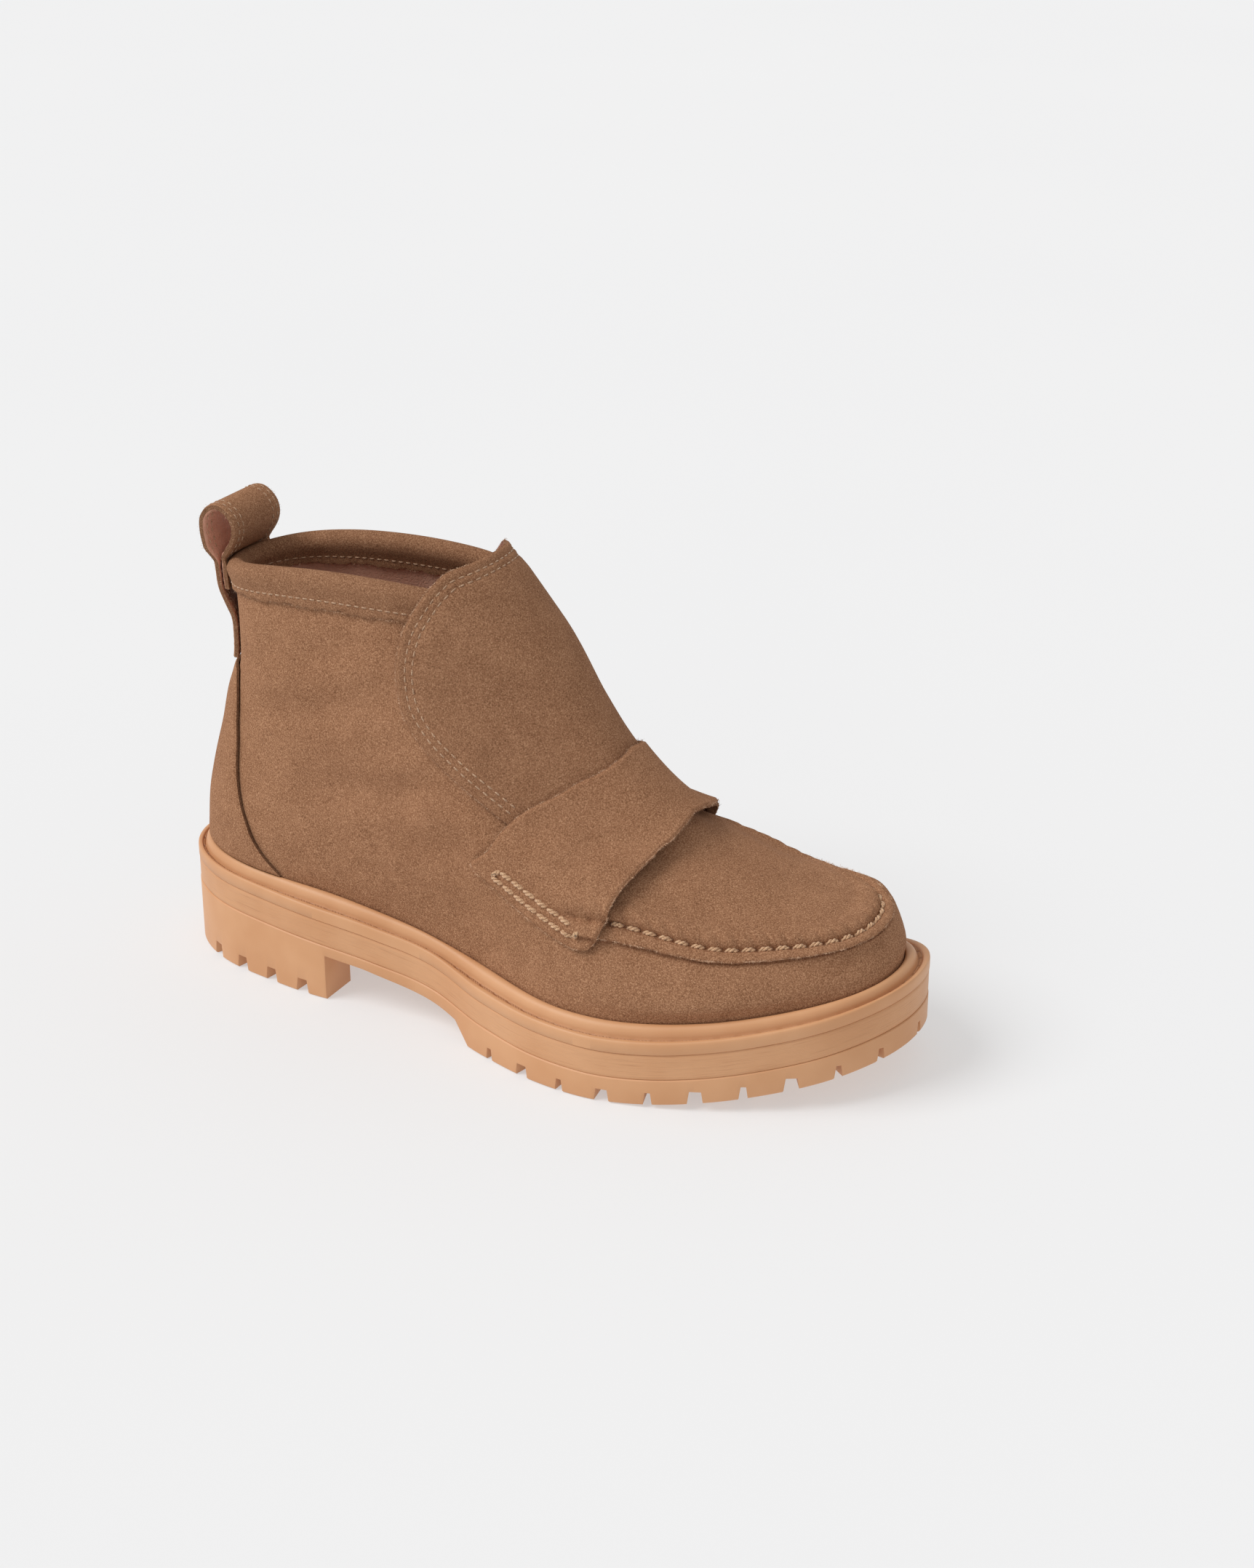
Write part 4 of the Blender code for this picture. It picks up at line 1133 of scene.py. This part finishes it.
# %% Helpers for stitched sheets
def border_distance(points):
    """Distance of each grid point from the border of its grid."""
    rows, columns = points.shape[:2]
    flat = points.reshape(-1, 3)
    rim = flat[border_of(rows, columns)]
    ends = np.roll(rim, -1, axis=0)
    fine = np.concatenate([rim + (ends - rim) * share for share in (0, 0.25, 0.5, 0.75)])
    tree = KDTree(len(fine))
    for index, point in enumerate(fine):
        tree.insert(point, index)
    tree.balance()
    return np.array([tree.find(point)[2] for point in flat]).reshape(rows, columns)


def pressed(distance, rows, depth=0.00045, width=0.0008):
    """Dip that each row of stitches presses into a sheet."""
    return -sum(depth * np.exp(-((distance - row) / width) ** 2) for row in rows)


def edge_thinning(distance, thickness):
    """How much a cut edge is worn round, in metres."""
    return -0.35 * thickness * (1 - ease(distance, 0, 0.0012))


# %% The tongue panel
PANEL_ROWS = 150
PANEL_COLUMNS = 110
PANEL_STITCHES = (0.0034, 0.0060)


def panel_spot(row, across):
    """Level and place on the panel, from a share of its length and a share of its half width."""
    level, span, rise = np.moveaxis(smooth(PANEL_TABLE[:, 0], PANEL_TABLE[:, 1:], row), -1, 0)
    return level + rise * (1 - across**2), span * across


def panel_seat(level):
    return LAP_GAP + (BINDING_THICKNESS + GAP + 0.0006) * ease(level, 8.6, 9.4)


rows = np.linspace(0, 1, PANEL_ROWS)[:, None]
across = np.sin(np.linspace(-1, 1, PANEL_COLUMNS) * pi / 2)[None, :]
level, place = panel_spot(rows + 0 * across, across + 0 * rows)
seat = panel_seat(level)
inner = leather(level, place, seat)
distance = border_distance(inner)
puff = 0.0004 * ease(distance, 0.006, 0.012)
thick = PANEL_THICKNESS + pressed(distance, PANEL_STITCHES) + edge_thinning(distance, PANEL_THICKNESS) + puff
outer = inner + outward(level, place) * thick[..., None]
panel = sheet_piece("tongue_panel_suede", inner, outer, [PANEL_SUEDE, RAW_EDGE, LINING])
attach(panel, "root")
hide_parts("tongue_panel")
print("panel, mm:", round(float(np.ptp(outer[..., 0])) * 1000), "deep, from level 11 to",
      round(float(level.min()), 1))

# %% The saddle strap
STRAP_ROWS = 240
STRAP_COLUMNS = 60
STRAP_CORNER = 0.13


def strap_spot(share, across):
    """Level and place on the strap. The corners of its ends are rounded."""
    near = np.clip(STRAP_CORNER - np.minimum(across, 1 - across), 0, None) / STRAP_CORNER
    share = share * (1 - 0.035 * (1 - np.sqrt(1 - near**2)))
    side = np.abs(share)
    rear_level, rear_place, front_level, front_place = np.moveaxis(
        smooth(STRAP_TABLE[:, 0], STRAP_TABLE[:, 1:], side), -1, 0)
    level = rear_level + (front_level - rear_level) * across
    place = np.sign(share) * (rear_place + (front_place - rear_place) * across)
    return level, place, side


def strap_seat(side, across):
    raised = 1 - ease(side, STRAP_RAISED, STRAP_SEATED)
    lift = STRAP_LIFT * across**3 * (1 - side**3)
    return LAP_GAP + (PANEL_THICKNESS + LAP_GAP) * raised + lift


share = np.sin(np.linspace(-1, 1, STRAP_ROWS) * pi / 2 * 0.93)[:, None] / np.sin(pi / 2 * 0.93)
across = (0.5 - 0.5 * np.cos(np.linspace(0, pi, STRAP_COLUMNS)))[None, :]
level, place, side = strap_spot(share + 0 * across, across + 0 * share)
inner = leather(level, place, strap_seat(side, across))
distance = border_distance(inner)
thick = STRAP_THICKNESS + edge_thinning(distance, STRAP_THICKNESS)
outer = inner + outward(level, place) * thick[..., None]
strap = sheet_piece("saddle_strap_suede", inner, outer, [SUEDE, RAW_EDGE, RAW_EDGE])
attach(strap, "root")
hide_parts("saddle_strap")
print("strap:", len(strap.data.polygons), "faces")

# %% The heel counter
COUNTER_ROWS = 110
COUNTER_COLUMNS = 90
counter_level = np.linspace(COUNTER_TABLE[0, 0], COUNTER_TABLE[-1, 0], COUNTER_ROWS)[:, None]
counter_edge = smooth(COUNTER_TABLE[:, 0], COUNTER_TABLE[:, 1], counter_level[:, 0])[:, None]
across = np.sin(np.linspace(-1, 1, COUNTER_COLUMNS) * pi / 2)[None, :]
place = np.sign(across) * (1 - (1 - counter_edge) * np.abs(across))
level = counter_level + 0 * across
inner = leather(level, place, LAP_GAP, seamed=False)
distance = border_distance(inner)
thick = COUNTER_THICKNESS + edge_thinning(distance, COUNTER_THICKNESS)
outer = inner + outward(level, place) * thick[..., None]
counter = sheet_piece("heel_counter_suede", inner, outer, [SUEDE, DARK_EDGE, RAW_EDGE])
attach(counter, "root")
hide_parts("heel_counter")
print("heel counter:", len(counter.data.polygons), "faces")

# %% [markdown]
# ## The padded collar
# A strip of suede folds over a foam roll at the rim. Outside it ends in a raw edge under one row of fine
# stitches, and inside it goes down about a centimetre to a second row. The section is drawn once, as offsets
# from the wall and heights, and carried round the rim.

# %% The collar band
COLLAR_COLUMNS = 600
COLLAR_LOW = 9.58
COLLAR_LOW_INSIDE = 9.60
FRAYED_RISE = 0.03
SOFT_RISE = 0.2
# The band's section outside and inside the rim: rise in levels above its raw edge, and offset from the wall
COLLAR_OUTSIDE = (
    (0.00, 0.0), (0.00, 0.0008), (0.02, 0.0011), (0.05, 0.0012), (0.09, 0.00105), (0.12, 0.00105),
    (0.17, 0.0015), (0.24, 0.0020), (0.31, 0.0023), (0.38, 0.0022),
)
COLLAR_INSIDE = (
    (0.34, 0.0021), (0.27, 0.0021), (0.20, 0.0017), (0.13, 0.0011), (0.09, 0.0009), (0.05, 0.0011),
    (0.00, 0.0010), (0.00, 0.0),
)


def collar_rings():
    place = np.linspace(-1, 1, COLLAR_COLUMNS + 1)[:-1]
    rim = surface(RIM, place)
    normal = outward(RIM + 0 * place, place)
    run = lengths_along(rim)
    fray = waver(run, (0.023, 0.012), (0.0071, 0.008), (0.0032, 0.006))
    soft = waver(run, (0.031, 0.00015), (0.017, 0.0001))

    def beside(level, offset):
        base = surface(level, place)
        return base + outward(level + 0 * place, place) * (offset + crease_height(base))[:, None]

    def above(offset, height):
        point = rim + normal * np.reshape(offset, (-1, 1))
        point[:, 2] += height
        return point

    out = GAP
    inn = -WALL - GAP
    rings = []
    for rise, offset in COLLAR_OUTSIDE:
        level = COLLAR_LOW + rise + fray * (rise < FRAYED_RISE)
        rings.append(beside(level, out + offset + soft * (rise > SOFT_RISE)))
    rings += [
        above(out + 0.0018 + soft, 0.0001), above(out + 0.0011, 0.0013), above(out + 0.0001, 0.0020),
        above(-WALL * 0.4, 0.0024), above(-WALL * 0.9, 0.0022), above(inn - 0.0008, 0.0013),
        above(inn - 0.0016, 0.0001),
    ]
    for rise, offset in COLLAR_INSIDE:
        rings.append(beside(COLLAR_LOW_INSIDE + rise + fray * (rise < FRAYED_RISE), inn - offset))
    behind = [beside(COLLAR_LOW_INSIDE + SOFT_RISE, inn), above(inn, GAP), above(out, GAP)]
    return rings + behind + [beside(COLLAR_LOW + SOFT_RISE, out)]


collar = ring_piece("padded_collar_suede", collar_rings(), [BINDING_SUEDE])
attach(collar, "root")
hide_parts("collar_binding")
print("collar:", len(collar.data.polygons), "faces")

# %% [markdown]
# ## The pull loop
# The loop is one strip, suede outside and lining inside, folded into a teardrop and sewn down the back of the
# shaft. Its side view is a smooth curve through a few points, and the strip's width is swept along that.

# %% The pull loop
LOOP_ROWS = 170
LOOP_COLUMNS = 26
LOOP_STITCHES = (0.0022, 0.0048)


def loop_grid(run, across, offset):
    """Points on the strip, by share of its length, distance from its middle and offset through it."""
    run, across, offset = np.broadcast_arrays(np.asarray(run, float), across, offset)
    knots = np.linspace(0, 1, len(LOOP_TABLE))
    dense = np.linspace(0, 1, 800)
    path = smooth(knots, LOOP_TABLE * LOOP_SIZE, dense)
    rim = surface(RIM, 1.0)
    path[:, 1] += rim[2]
    tangent = np.gradient(path, axis=0)
    tangent /= np.linalg.norm(tangent, axis=1)[:, None]
    backs = surface(np.linspace(7, RIM, 40), 1.0)
    spot_x = np.interp(run, dense, path[:, 0]) - np.interp(run, dense, tangent[:, 1]) * offset
    spot_z = np.interp(run, dense, path[:, 1]) + np.interp(run, dense, tangent[:, 0]) * offset
    path_z = np.interp(run, dense, path[:, 1])
    shaft_back = np.interp(path_z, backs[:, 2], backs[:, 0])
    round_back = RING_TABLE[-2, 14] * HALF_BALL * 1.25
    bend = round_back - np.sqrt(round_back**2 - across**2)
    wrapped = 1 - ease(path_z, rim[2], rim[2] + LOOP_SIZE / 4)
    x = spot_x + shaft_back - GAP - LOOP_THICKNESS / 2 + wrapped * bend
    return np.stack([x, rim[1] + across, spot_z], -1)


run = np.linspace(0, 1, LOOP_ROWS)[:, None]
across = np.sin(np.linspace(-1, 1, LOOP_COLUMNS) * pi / 2)[None, :] * LOOP_WIDTH / 2
inside_distance = LOOP_WIDTH / 2 - np.abs(across) + 0 * run
dip = pressed(inside_distance, LOOP_STITCHES, 0.00022, 0.0006)
worn = edge_thinning(inside_distance, LOOP_THICKNESS / 2)
half_thick = LOOP_THICKNESS / 2 + dip + worn
wrinkles = waver(run * 0.1, (0.0061, 0.00018), (0.0037, 0.0001)) * np.clip(inside_distance / 0.004, 0, 1)
back_side = loop_grid(run, across, -half_thick)
face_side = loop_grid(run, across, half_thick + wrinkles)
pull_loop = sheet_piece("pull_loop_suede", back_side, face_side, [LINING, RAW_EDGE, SUEDE])
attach(pull_loop, "root")
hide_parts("pull_loop")
print("pull loop:", len(pull_loop.data.polygons), "faces")

# %% [markdown]
# ## Stitches
# A stitch is a short piece of yarn that comes up out of one hole and goes down into the next. The thick
# moccasin thread is two strands twisted together, and the fine seams are single threads. Every stitch of a
# row is a bent tube, and one mesh holds the whole row.

# %% Tubes for stitches
def tube_mesh(paths, thickness, sides):
    """Points and faces of closed tubes along several paths of equal length."""
    points = []
    faces = []
    angles = np.linspace(0, 2 * pi, sides + 1)[:-1]
    for path in paths:
        tangent = np.gradient(path, axis=0)
        tangent /= np.linalg.norm(tangent, axis=1)[:, None]
        guide = np.array([0.31, 0.22, 0.92])
        side = np.cross(tangent, guide)
        side /= np.linalg.norm(side, axis=1)[:, None]
        other = np.cross(tangent, side)
        rings = path[:, None] + thickness / 2 * (
            side[:, None] * np.cos(angles)[None, :, None] + other[:, None] * np.sin(angles)[None, :, None])
        start = sum(len(group) for group in points)
        points.append(rings.reshape(-1, 3))
        faces += grid_faces(len(path), sides, start, wrap_columns=True).tolist()
        faces.append(list(range(start, start + sides))[::-1])
        faces.append(list(range(start + (len(path) - 1) * sides, start + len(path) * sides)))
    return np.vstack(points), faces


def stitch_paths(line, normals, pitch, length, lift, sink, first=0.5, strands=1, thickness=0.0004, steps=9):
    """Paths of the stitches along a line: each rises by lift in its middle and sinks at its ends."""
    run = lengths_along(line)
    paths = []
    middle = first * pitch
    while middle < run[-1]:
        at = middle + np.linspace(-0.5, 0.5, steps) * length
        middle += pitch
        if at[0] < 0 or at[-1] > run[-1]:
            continue
        spot = np.stack([np.interp(at, run, line[:, k]) for k in range(3)], -1)
        normal = np.stack([np.interp(at, run, normals[:, k]) for k in range(3)], -1)
        side = np.cross(np.gradient(spot, axis=0), normal)
        side /= np.linalg.norm(side, axis=1)[:, None]
        bow = 1 - np.abs(np.linspace(-1, 1, steps)) ** 3
        centre = spot + normal * (-sink + (lift + sink) * bow)[:, None]
        if strands == 1:
            paths.append(centre)
            continue
        turn = np.linspace(0, 2 * pi * 1.35, steps)
        for k in range(strands):
            angle = turn + 2 * pi * k / strands
            around_it = side * np.cos(angle)[:, None] + normal * np.sin(angle)[:, None]
            paths.append(centre + around_it * thickness * 0.26)
    return paths


def stitch_row(name, line, normals, look, pitch, length, thickness, lift, sink, first=0.5, strands=1,
               sides=6, steps=8):
    paths = stitch_paths(line, normals, pitch, length, lift, sink, first, strands, thickness, steps)
    strand = thickness if strands == 1 else thickness * 0.56
    points, faces = tube_mesh(paths, strand, sides)
    row = new_piece(name, points, faces, [look], crease=None)
    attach(row, "root")
    print(name + ":", len(paths) // strands, "stitches")
    return row


# %% The moccasin stitches
seam_shown = np.linspace(-0.405, 0.405, 1601)
seam_line = surface(seam_level(seam_shown), seam_shown)
seam_normal = outward(seam_level(seam_shown), seam_shown)
seam_line = seam_line + seam_normal * 0.0002
before_toe = -np.interp(seam_shown[0], SEAM_PLACES, SEAM_RUN)
stitch_row("moccasin_stitches", seam_line, seam_normal, GOLD_THREAD, SEAM_PITCH, SEAM_STITCH, SEAM_THREAD,
           lift=0.00075, sink=0.0009, first=(before_toe / SEAM_PITCH) % 1, strands=2, sides=10, steps=18)

# %% Rows on the tongue panel
def inset_line(grid_point, border, insets):
    """Lines inside a sheet's border: each border spot, a pair of grid shares, is moved inward."""
    spots = np.array(border)
    point, normal = grid_point(spots[:, 0], spots[:, 1])
    tangent = np.gradient(point, axis=0)
    inward = np.cross(tangent, normal)
    inward /= np.linalg.norm(inward, axis=1)[:, None]
    lines = []
    for inset in insets:
        lines.append((point + inward * inset, normal))
    return lines


def snap(line, piece, lift=0.0):
    """Moves a line onto the outside of a piece, with the piece's normals."""
    mesh = piece.data
    tree = BVHTree.FromPolygons([v.co for v in mesh.vertices], [tuple(p.vertices) for p in mesh.polygons])
    spots = []
    normals = []
    for point, normal in line:
        start = Vector(point - ORIGIN) + Vector(normal) * 0.008
        hit, facing, _, _ = tree.ray_cast(start, -Vector(normal), 0.03)
        if hit is None:
            continue
        spots.append(np.array(hit) + ORIGIN + np.array(facing) * lift)
        normals.append(np.array(facing))
    return np.array(spots), np.array(normals)


def panel_point(row, across):
    level, place = panel_spot(row, across)
    return leather(level, place, panel_seat(level) + PANEL_THICKNESS), outward(level, place)


panel_rows = np.linspace(0.86, 0.0, 260)
top_turn = np.linspace(-1, 1, 41)[1:-1]
panel_border = [(row, -1.0) for row in panel_rows] + [(0.0, a) for a in top_turn]
panel_border += [(row, 1.0) for row in panel_rows[::-1]]
for k, (line, normal) in enumerate(inset_line(panel_point, panel_border, PANEL_STITCHES)):
    spots, facing = snap(list(zip(line, normal)), panel)
    stitch_row(f"panel_stitches_{k + 1}", spots, facing, FINE_THREAD, 0.0033, 0.0023, 0.00056,
               lift=0.00005, sink=0.0005)

# %% Box stitches at the strap's ends
def strap_point(share, across):
    level, place, side = strap_spot(share, across)
    return leather(level, place, strap_seat(side, across) + STRAP_THICKNESS), outward(level, place)


STRAP_BOX = (0.0050, 0.0092)
for sign, word in ((-1, "outer"), (1, "inner")):
    ends = []
    for inset in STRAP_BOX:
        across = np.linspace(0.16, 0.84, 60)
        share = sign * np.full(60, 1.0)
        point, normal = strap_point(share, across)
        behind, _ = strap_point(share * 0.97, across)
        back = behind - point
        back /= np.linalg.norm(back, axis=1)[:, None]
        ends.append((point + back * inset, normal))
    for k, (line, normal) in enumerate(ends):
        spots, facing = snap(list(zip(line, normal)), strap)
        stitch_row(f"strap_{word}_box_{k + 1}", spots, facing, GOLD_THREAD, 0.0053, 0.0046, 0.0017,
                   lift=0.0004, sink=0.0007, strands=2, sides=8, steps=14)
    for k in (0, -1):
        start, finish = ends[0][0][k], ends[1][0][k]
        line = start + (finish - start) * np.linspace(0, 1, 12)[:, None]
        spots, facing = snap([(point, ends[0][1][k]) for point in line], strap)
        stitch_row(f"strap_{word}_box_side_{abs(k) + 1}", spots, facing, GOLD_THREAD, 0.0042, 0.0038, 0.0017,
                   lift=0.0004, sink=0.0007, strands=2, sides=8, steps=14)

# %% Rows on the collar and the pull loop
collar_places = np.linspace(-1, 1, 1400)
for word, level, side in (("outside", COLLAR_LOW + 0.105, 1), ("inside", COLLAR_LOW_INSIDE + 0.10, -1)):
    base = surface(level, collar_places)
    facing = outward(level + 0 * collar_places, collar_places) * side
    spots, normals = snap(list(zip(base, facing)), collar)
    stitch_row(f"collar_{word}_stitches", spots, normals, FINE_THREAD, 0.0030, 0.0021, 0.00056,
               lift=0.00010, sink=0.0005)

loop_run = np.linspace(0.01, 0.99, 500)
for face, word in ((1, "suede"), (-1, "lining")):
    for inset in LOOP_STITCHES:
        for side in (-1, 1):
            across = side * (LOOP_WIDTH / 2 - inset)
            line = loop_grid(loop_run, across, face * (LOOP_THICKNESS / 2 - 0.00012))
            core = loop_grid(loop_run, across, 0.0)
            normals = line - core
            normals /= np.linalg.norm(normals, axis=1)[:, None]
            name = f"loop_{word}_stitches_{'left' if side > 0 else 'right'}_{round(inset * 10000)}"
            stitch_row(name, line, normals, FINE_THREAD, 0.0029, 0.0021, 0.00040, lift=0.00012, sink=0.0005)

# %% [markdown]
# ## Raw edges
# Cut suede is never clean: short fibres stand out along every raw edge. Each is a hair of two flat steps,
# placed along the edge with a seeded random length and lean, so that the result is the same every run.

# %% Fibres along the cut edges
FIBRE_WIDTH = 0.00010
RANDOM = np.random.default_rng(7)


def fibres(name, line, outs, ups, per_mm, length, look=None, spread=0.0004):
    """Fibres along a line. They stand out along outs and lean along ups."""
    run = lengths_along(line)
    count = int(run[-1] * 1000 * per_mm)
    at = RANDOM.uniform(0, run[-1], count)

    def sample(values):
        return np.stack([np.interp(at, run, values[:, k]) for k in range(3)], -1)

    root = sample(line)
    out = sample(outs)
    up = sample(ups)
    along = np.cross(out, up)
    root = root + up * RANDOM.normal(0, spread, count)[:, None]
    lean = RANDOM.normal(0, 0.75, (count, 3))
    reach = length * RANDOM.uniform(0.35, 1.0, count)[:, None] ** 1.5
    first = out + up * lean[:, :1] + along * lean[:, 1:2]
    first /= np.linalg.norm(first, axis=1)[:, None]
    second = first + up * lean[:, 2:] + along * lean[:, :1] * 0.8
    second /= np.linalg.norm(second, axis=1)[:, None]
    side = np.cross(first, up + 0.3 * along)
    side = side / np.linalg.norm(side, axis=1)[:, None] * FIBRE_WIDTH / 2
    middle = root + first * reach * 0.55
    tip = middle + second * reach * 0.45
    root = root - first * 0.0002
    points = np.stack([root - side, root + side, middle + side * 0.8, middle - side * 0.8, tip], 1)
    start = np.arange(count)[:, None] * 5
    faces = [*(start + [0, 1, 2, 3]).tolist(), *(start + [3, 2, 4]).tolist()]
    piece = new_piece(name, points.reshape(-1, 3), faces, [look or FIBRE], crease=None)
    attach(piece, "root")
    print(name + ":", count, "fibres")
    return piece


def fibre_finish():
    look = Finish("loose_fibres", Roughness=0.9, Specular_IOR_Level=0.1)
    shade = look.noise(400, 1.0)
    colour = look.blend(shade.between(0.35, 0.65), tint(150, 108, 80), tint(226, 188, 156))
    return look.feed(Base_Color=colour)


FIBRE = fibre_finish()


def along_edge(point_of, spots, other_of):
    """A line on an edge, with directions out of the sheet and up from it."""
    line, normal = point_of(*spots)
    inside, _ = point_of(*other_of)
    out = line - inside
    out -= normal * (out * normal).sum(1)[:, None]
    out /= np.linalg.norm(out, axis=1)[:, None]
    return line, out, normal


flange_place = np.linspace(-0.385, 0.385, 900)
flange_level = seam_level(flange_place) - 0.495
flange = leather(flange_level, flange_place, 0.0)
flange_up = outward(flange_level, flange_place)
below = surface(flange_level - 0.05, flange_place) - surface(flange_level, flange_place)
below /= np.linalg.norm(below, axis=1)[:, None]
fibres("flange_fibres", flange, below, flange_up, 7, 0.0011, spread=0.0003)

edge_rows = np.linspace(0.0, 0.86, 400)
for side, word in ((-1, "outer"), (1, "inner")):
    beside_edge = (edge_rows, side * 0.97 + 0 * edge_rows)
    edge = along_edge(panel_point, (edge_rows, side + 0 * edge_rows), beside_edge)
    fibres(f"panel_{word}_edge_fibres", edge[0] - edge[2] * 0.0006, edge[1], edge[2], 6, 0.0010)

strap_share = np.linspace(-0.985, 0.985, 500)
for across, word in ((0.0, "rear"), (1.0, "front")):
    inner_across = 0.03 if across == 0 else 0.97
    edge = along_edge(strap_point, (strap_share, across + 0 * strap_share),
                      (strap_share, inner_across + 0 * strap_share))
    fibres(f"strap_{word}_edge_fibres", edge[0] - edge[2] * 0.0008, edge[1], edge[2], 6, 0.0010)
strap_across = np.linspace(0.02, 0.98, 120)
for sign, word in ((-1, "outer"), (1, "inner")):
    edge = along_edge(strap_point, (sign + 0 * strap_across, strap_across),
                      (sign * 0.985 + 0 * strap_across, strap_across))
    fibres(f"strap_{word}_end_fibres", edge[0] - edge[2] * 0.0008, edge[1], edge[2], 7, 0.0010)

for word, level, side in (("outside", COLLAR_LOW, 1), ("inside", COLLAR_LOW_INSIDE, -1)):
    base = surface(level, collar_places)
    facing = outward(level + 0 * collar_places, collar_places) * side
    line = base + facing * (0.0009 if side > 0 else WALL + 0.0009)
    down = surface(level - 0.05, collar_places) - base
    down /= np.linalg.norm(down, axis=1)[:, None]
    fibres(f"collar_{word}_fibres", line, down, facing, 6, 0.0011, spread=0.0003)

for side, word in ((-1, "right"), (1, "left")):
    line = loop_grid(loop_run, side * LOOP_WIDTH / 2, 0.0)
    inner_line = loop_grid(loop_run, side * LOOP_WIDTH * 0.45, 0.0)
    out = line - inner_line
    out /= np.linalg.norm(out, axis=1)[:, None]
    face = loop_grid(loop_run, side * LOOP_WIDTH / 2, 0.001) - line
    face /= np.linalg.norm(face, axis=1)[:, None]
    fibres(f"loop_{word}_edge_fibres", line, out, face, 7, 0.0009, spread=0.0006)

# %% [markdown]
# ## Studio
# The boot stands on a plain pale floor. One wide sun gives the soft shadow to the right and behind, and an
# even white world fills the rest, as a white studio does.

# %% Floor, light and camera
def pale_floor():
    size = 15.0
    mesh = bpy.data.meshes.new("studio_floor")
    corners = [(-size, -size, 0), (size, -size, 0), (size, size, 0), (-size, size, 0)]
    mesh.from_pydata(corners, [], [(0, 1, 2, 3)])
    look = Finish("pale_floor_paint", Roughness=0.9, Specular_IOR_Level=0.1, Emission_Strength=0.43)
    look.shader.inputs["Emission Color"].default_value = tint(255, 255, 255)
    paint = look.blend(look.noise(2.0), tint(176, 176, 177), tint(180, 180, 180))
    mesh.materials.append(look.feed(Base_Color=paint))
    floor = bpy.data.objects.new("studio_floor", mesh)
    bpy.context.scene.collection.objects.link(floor)
    return floor


pale_floor()
world = bpy.data.worlds.new("white_studio")
world.use_nodes = True
world.node_tree.nodes["Background"].inputs["Color"].default_value = (1.0, 1.0, 1.0, 1.0)
world.node_tree.nodes["Background"].inputs["Strength"].default_value = 0.56
bpy.context.scene.world = world


def sun(name, direction, strength, width):
    light = bpy.data.lights.new(name, "SUN")
    light.energy = strength
    light.angle = radians(width)
    lamp = bpy.data.objects.new(name, light)
    lamp.rotation_euler = Vector(direction).to_track_quat("Z", "Y").to_euler()
    bpy.context.scene.collection.objects.link(lamp)
    return lamp


sun("soft_key", (-0.62, -0.52, 0.95), 1.80, 34)
bpy.context.scene.view_settings.view_transform = "Standard"

CAMERA_PLACE = (0.42009, -0.74262, 0.46668)
CAMERA_TURN = radians(27.298)
CAMERA_PITCH = radians(24.146)
right = Vector((np.cos(CAMERA_TURN), np.sin(CAMERA_TURN), 0))
back = Vector((np.sin(CAMERA_TURN) * np.cos(CAMERA_PITCH), -np.cos(CAMERA_TURN) * np.cos(CAMERA_PITCH),
               np.sin(CAMERA_PITCH)))
lens = bpy.data.cameras.new("photo_camera")
lens.lens = 61.914
lens.sensor_width = 36
lens.clip_end = 100
camera = bpy.data.objects.new("photo_camera", lens)
turned = Matrix((right, back.cross(right), back)).transposed().to_4x4()
camera.matrix_world = Matrix.Translation(CAMERA_PLACE) @ turned
bpy.context.scene.collection.objects.link(camera)
bpy.context.scene.camera = camera
print("camera", [round(value, 3) for value in CAMERA_PLACE])
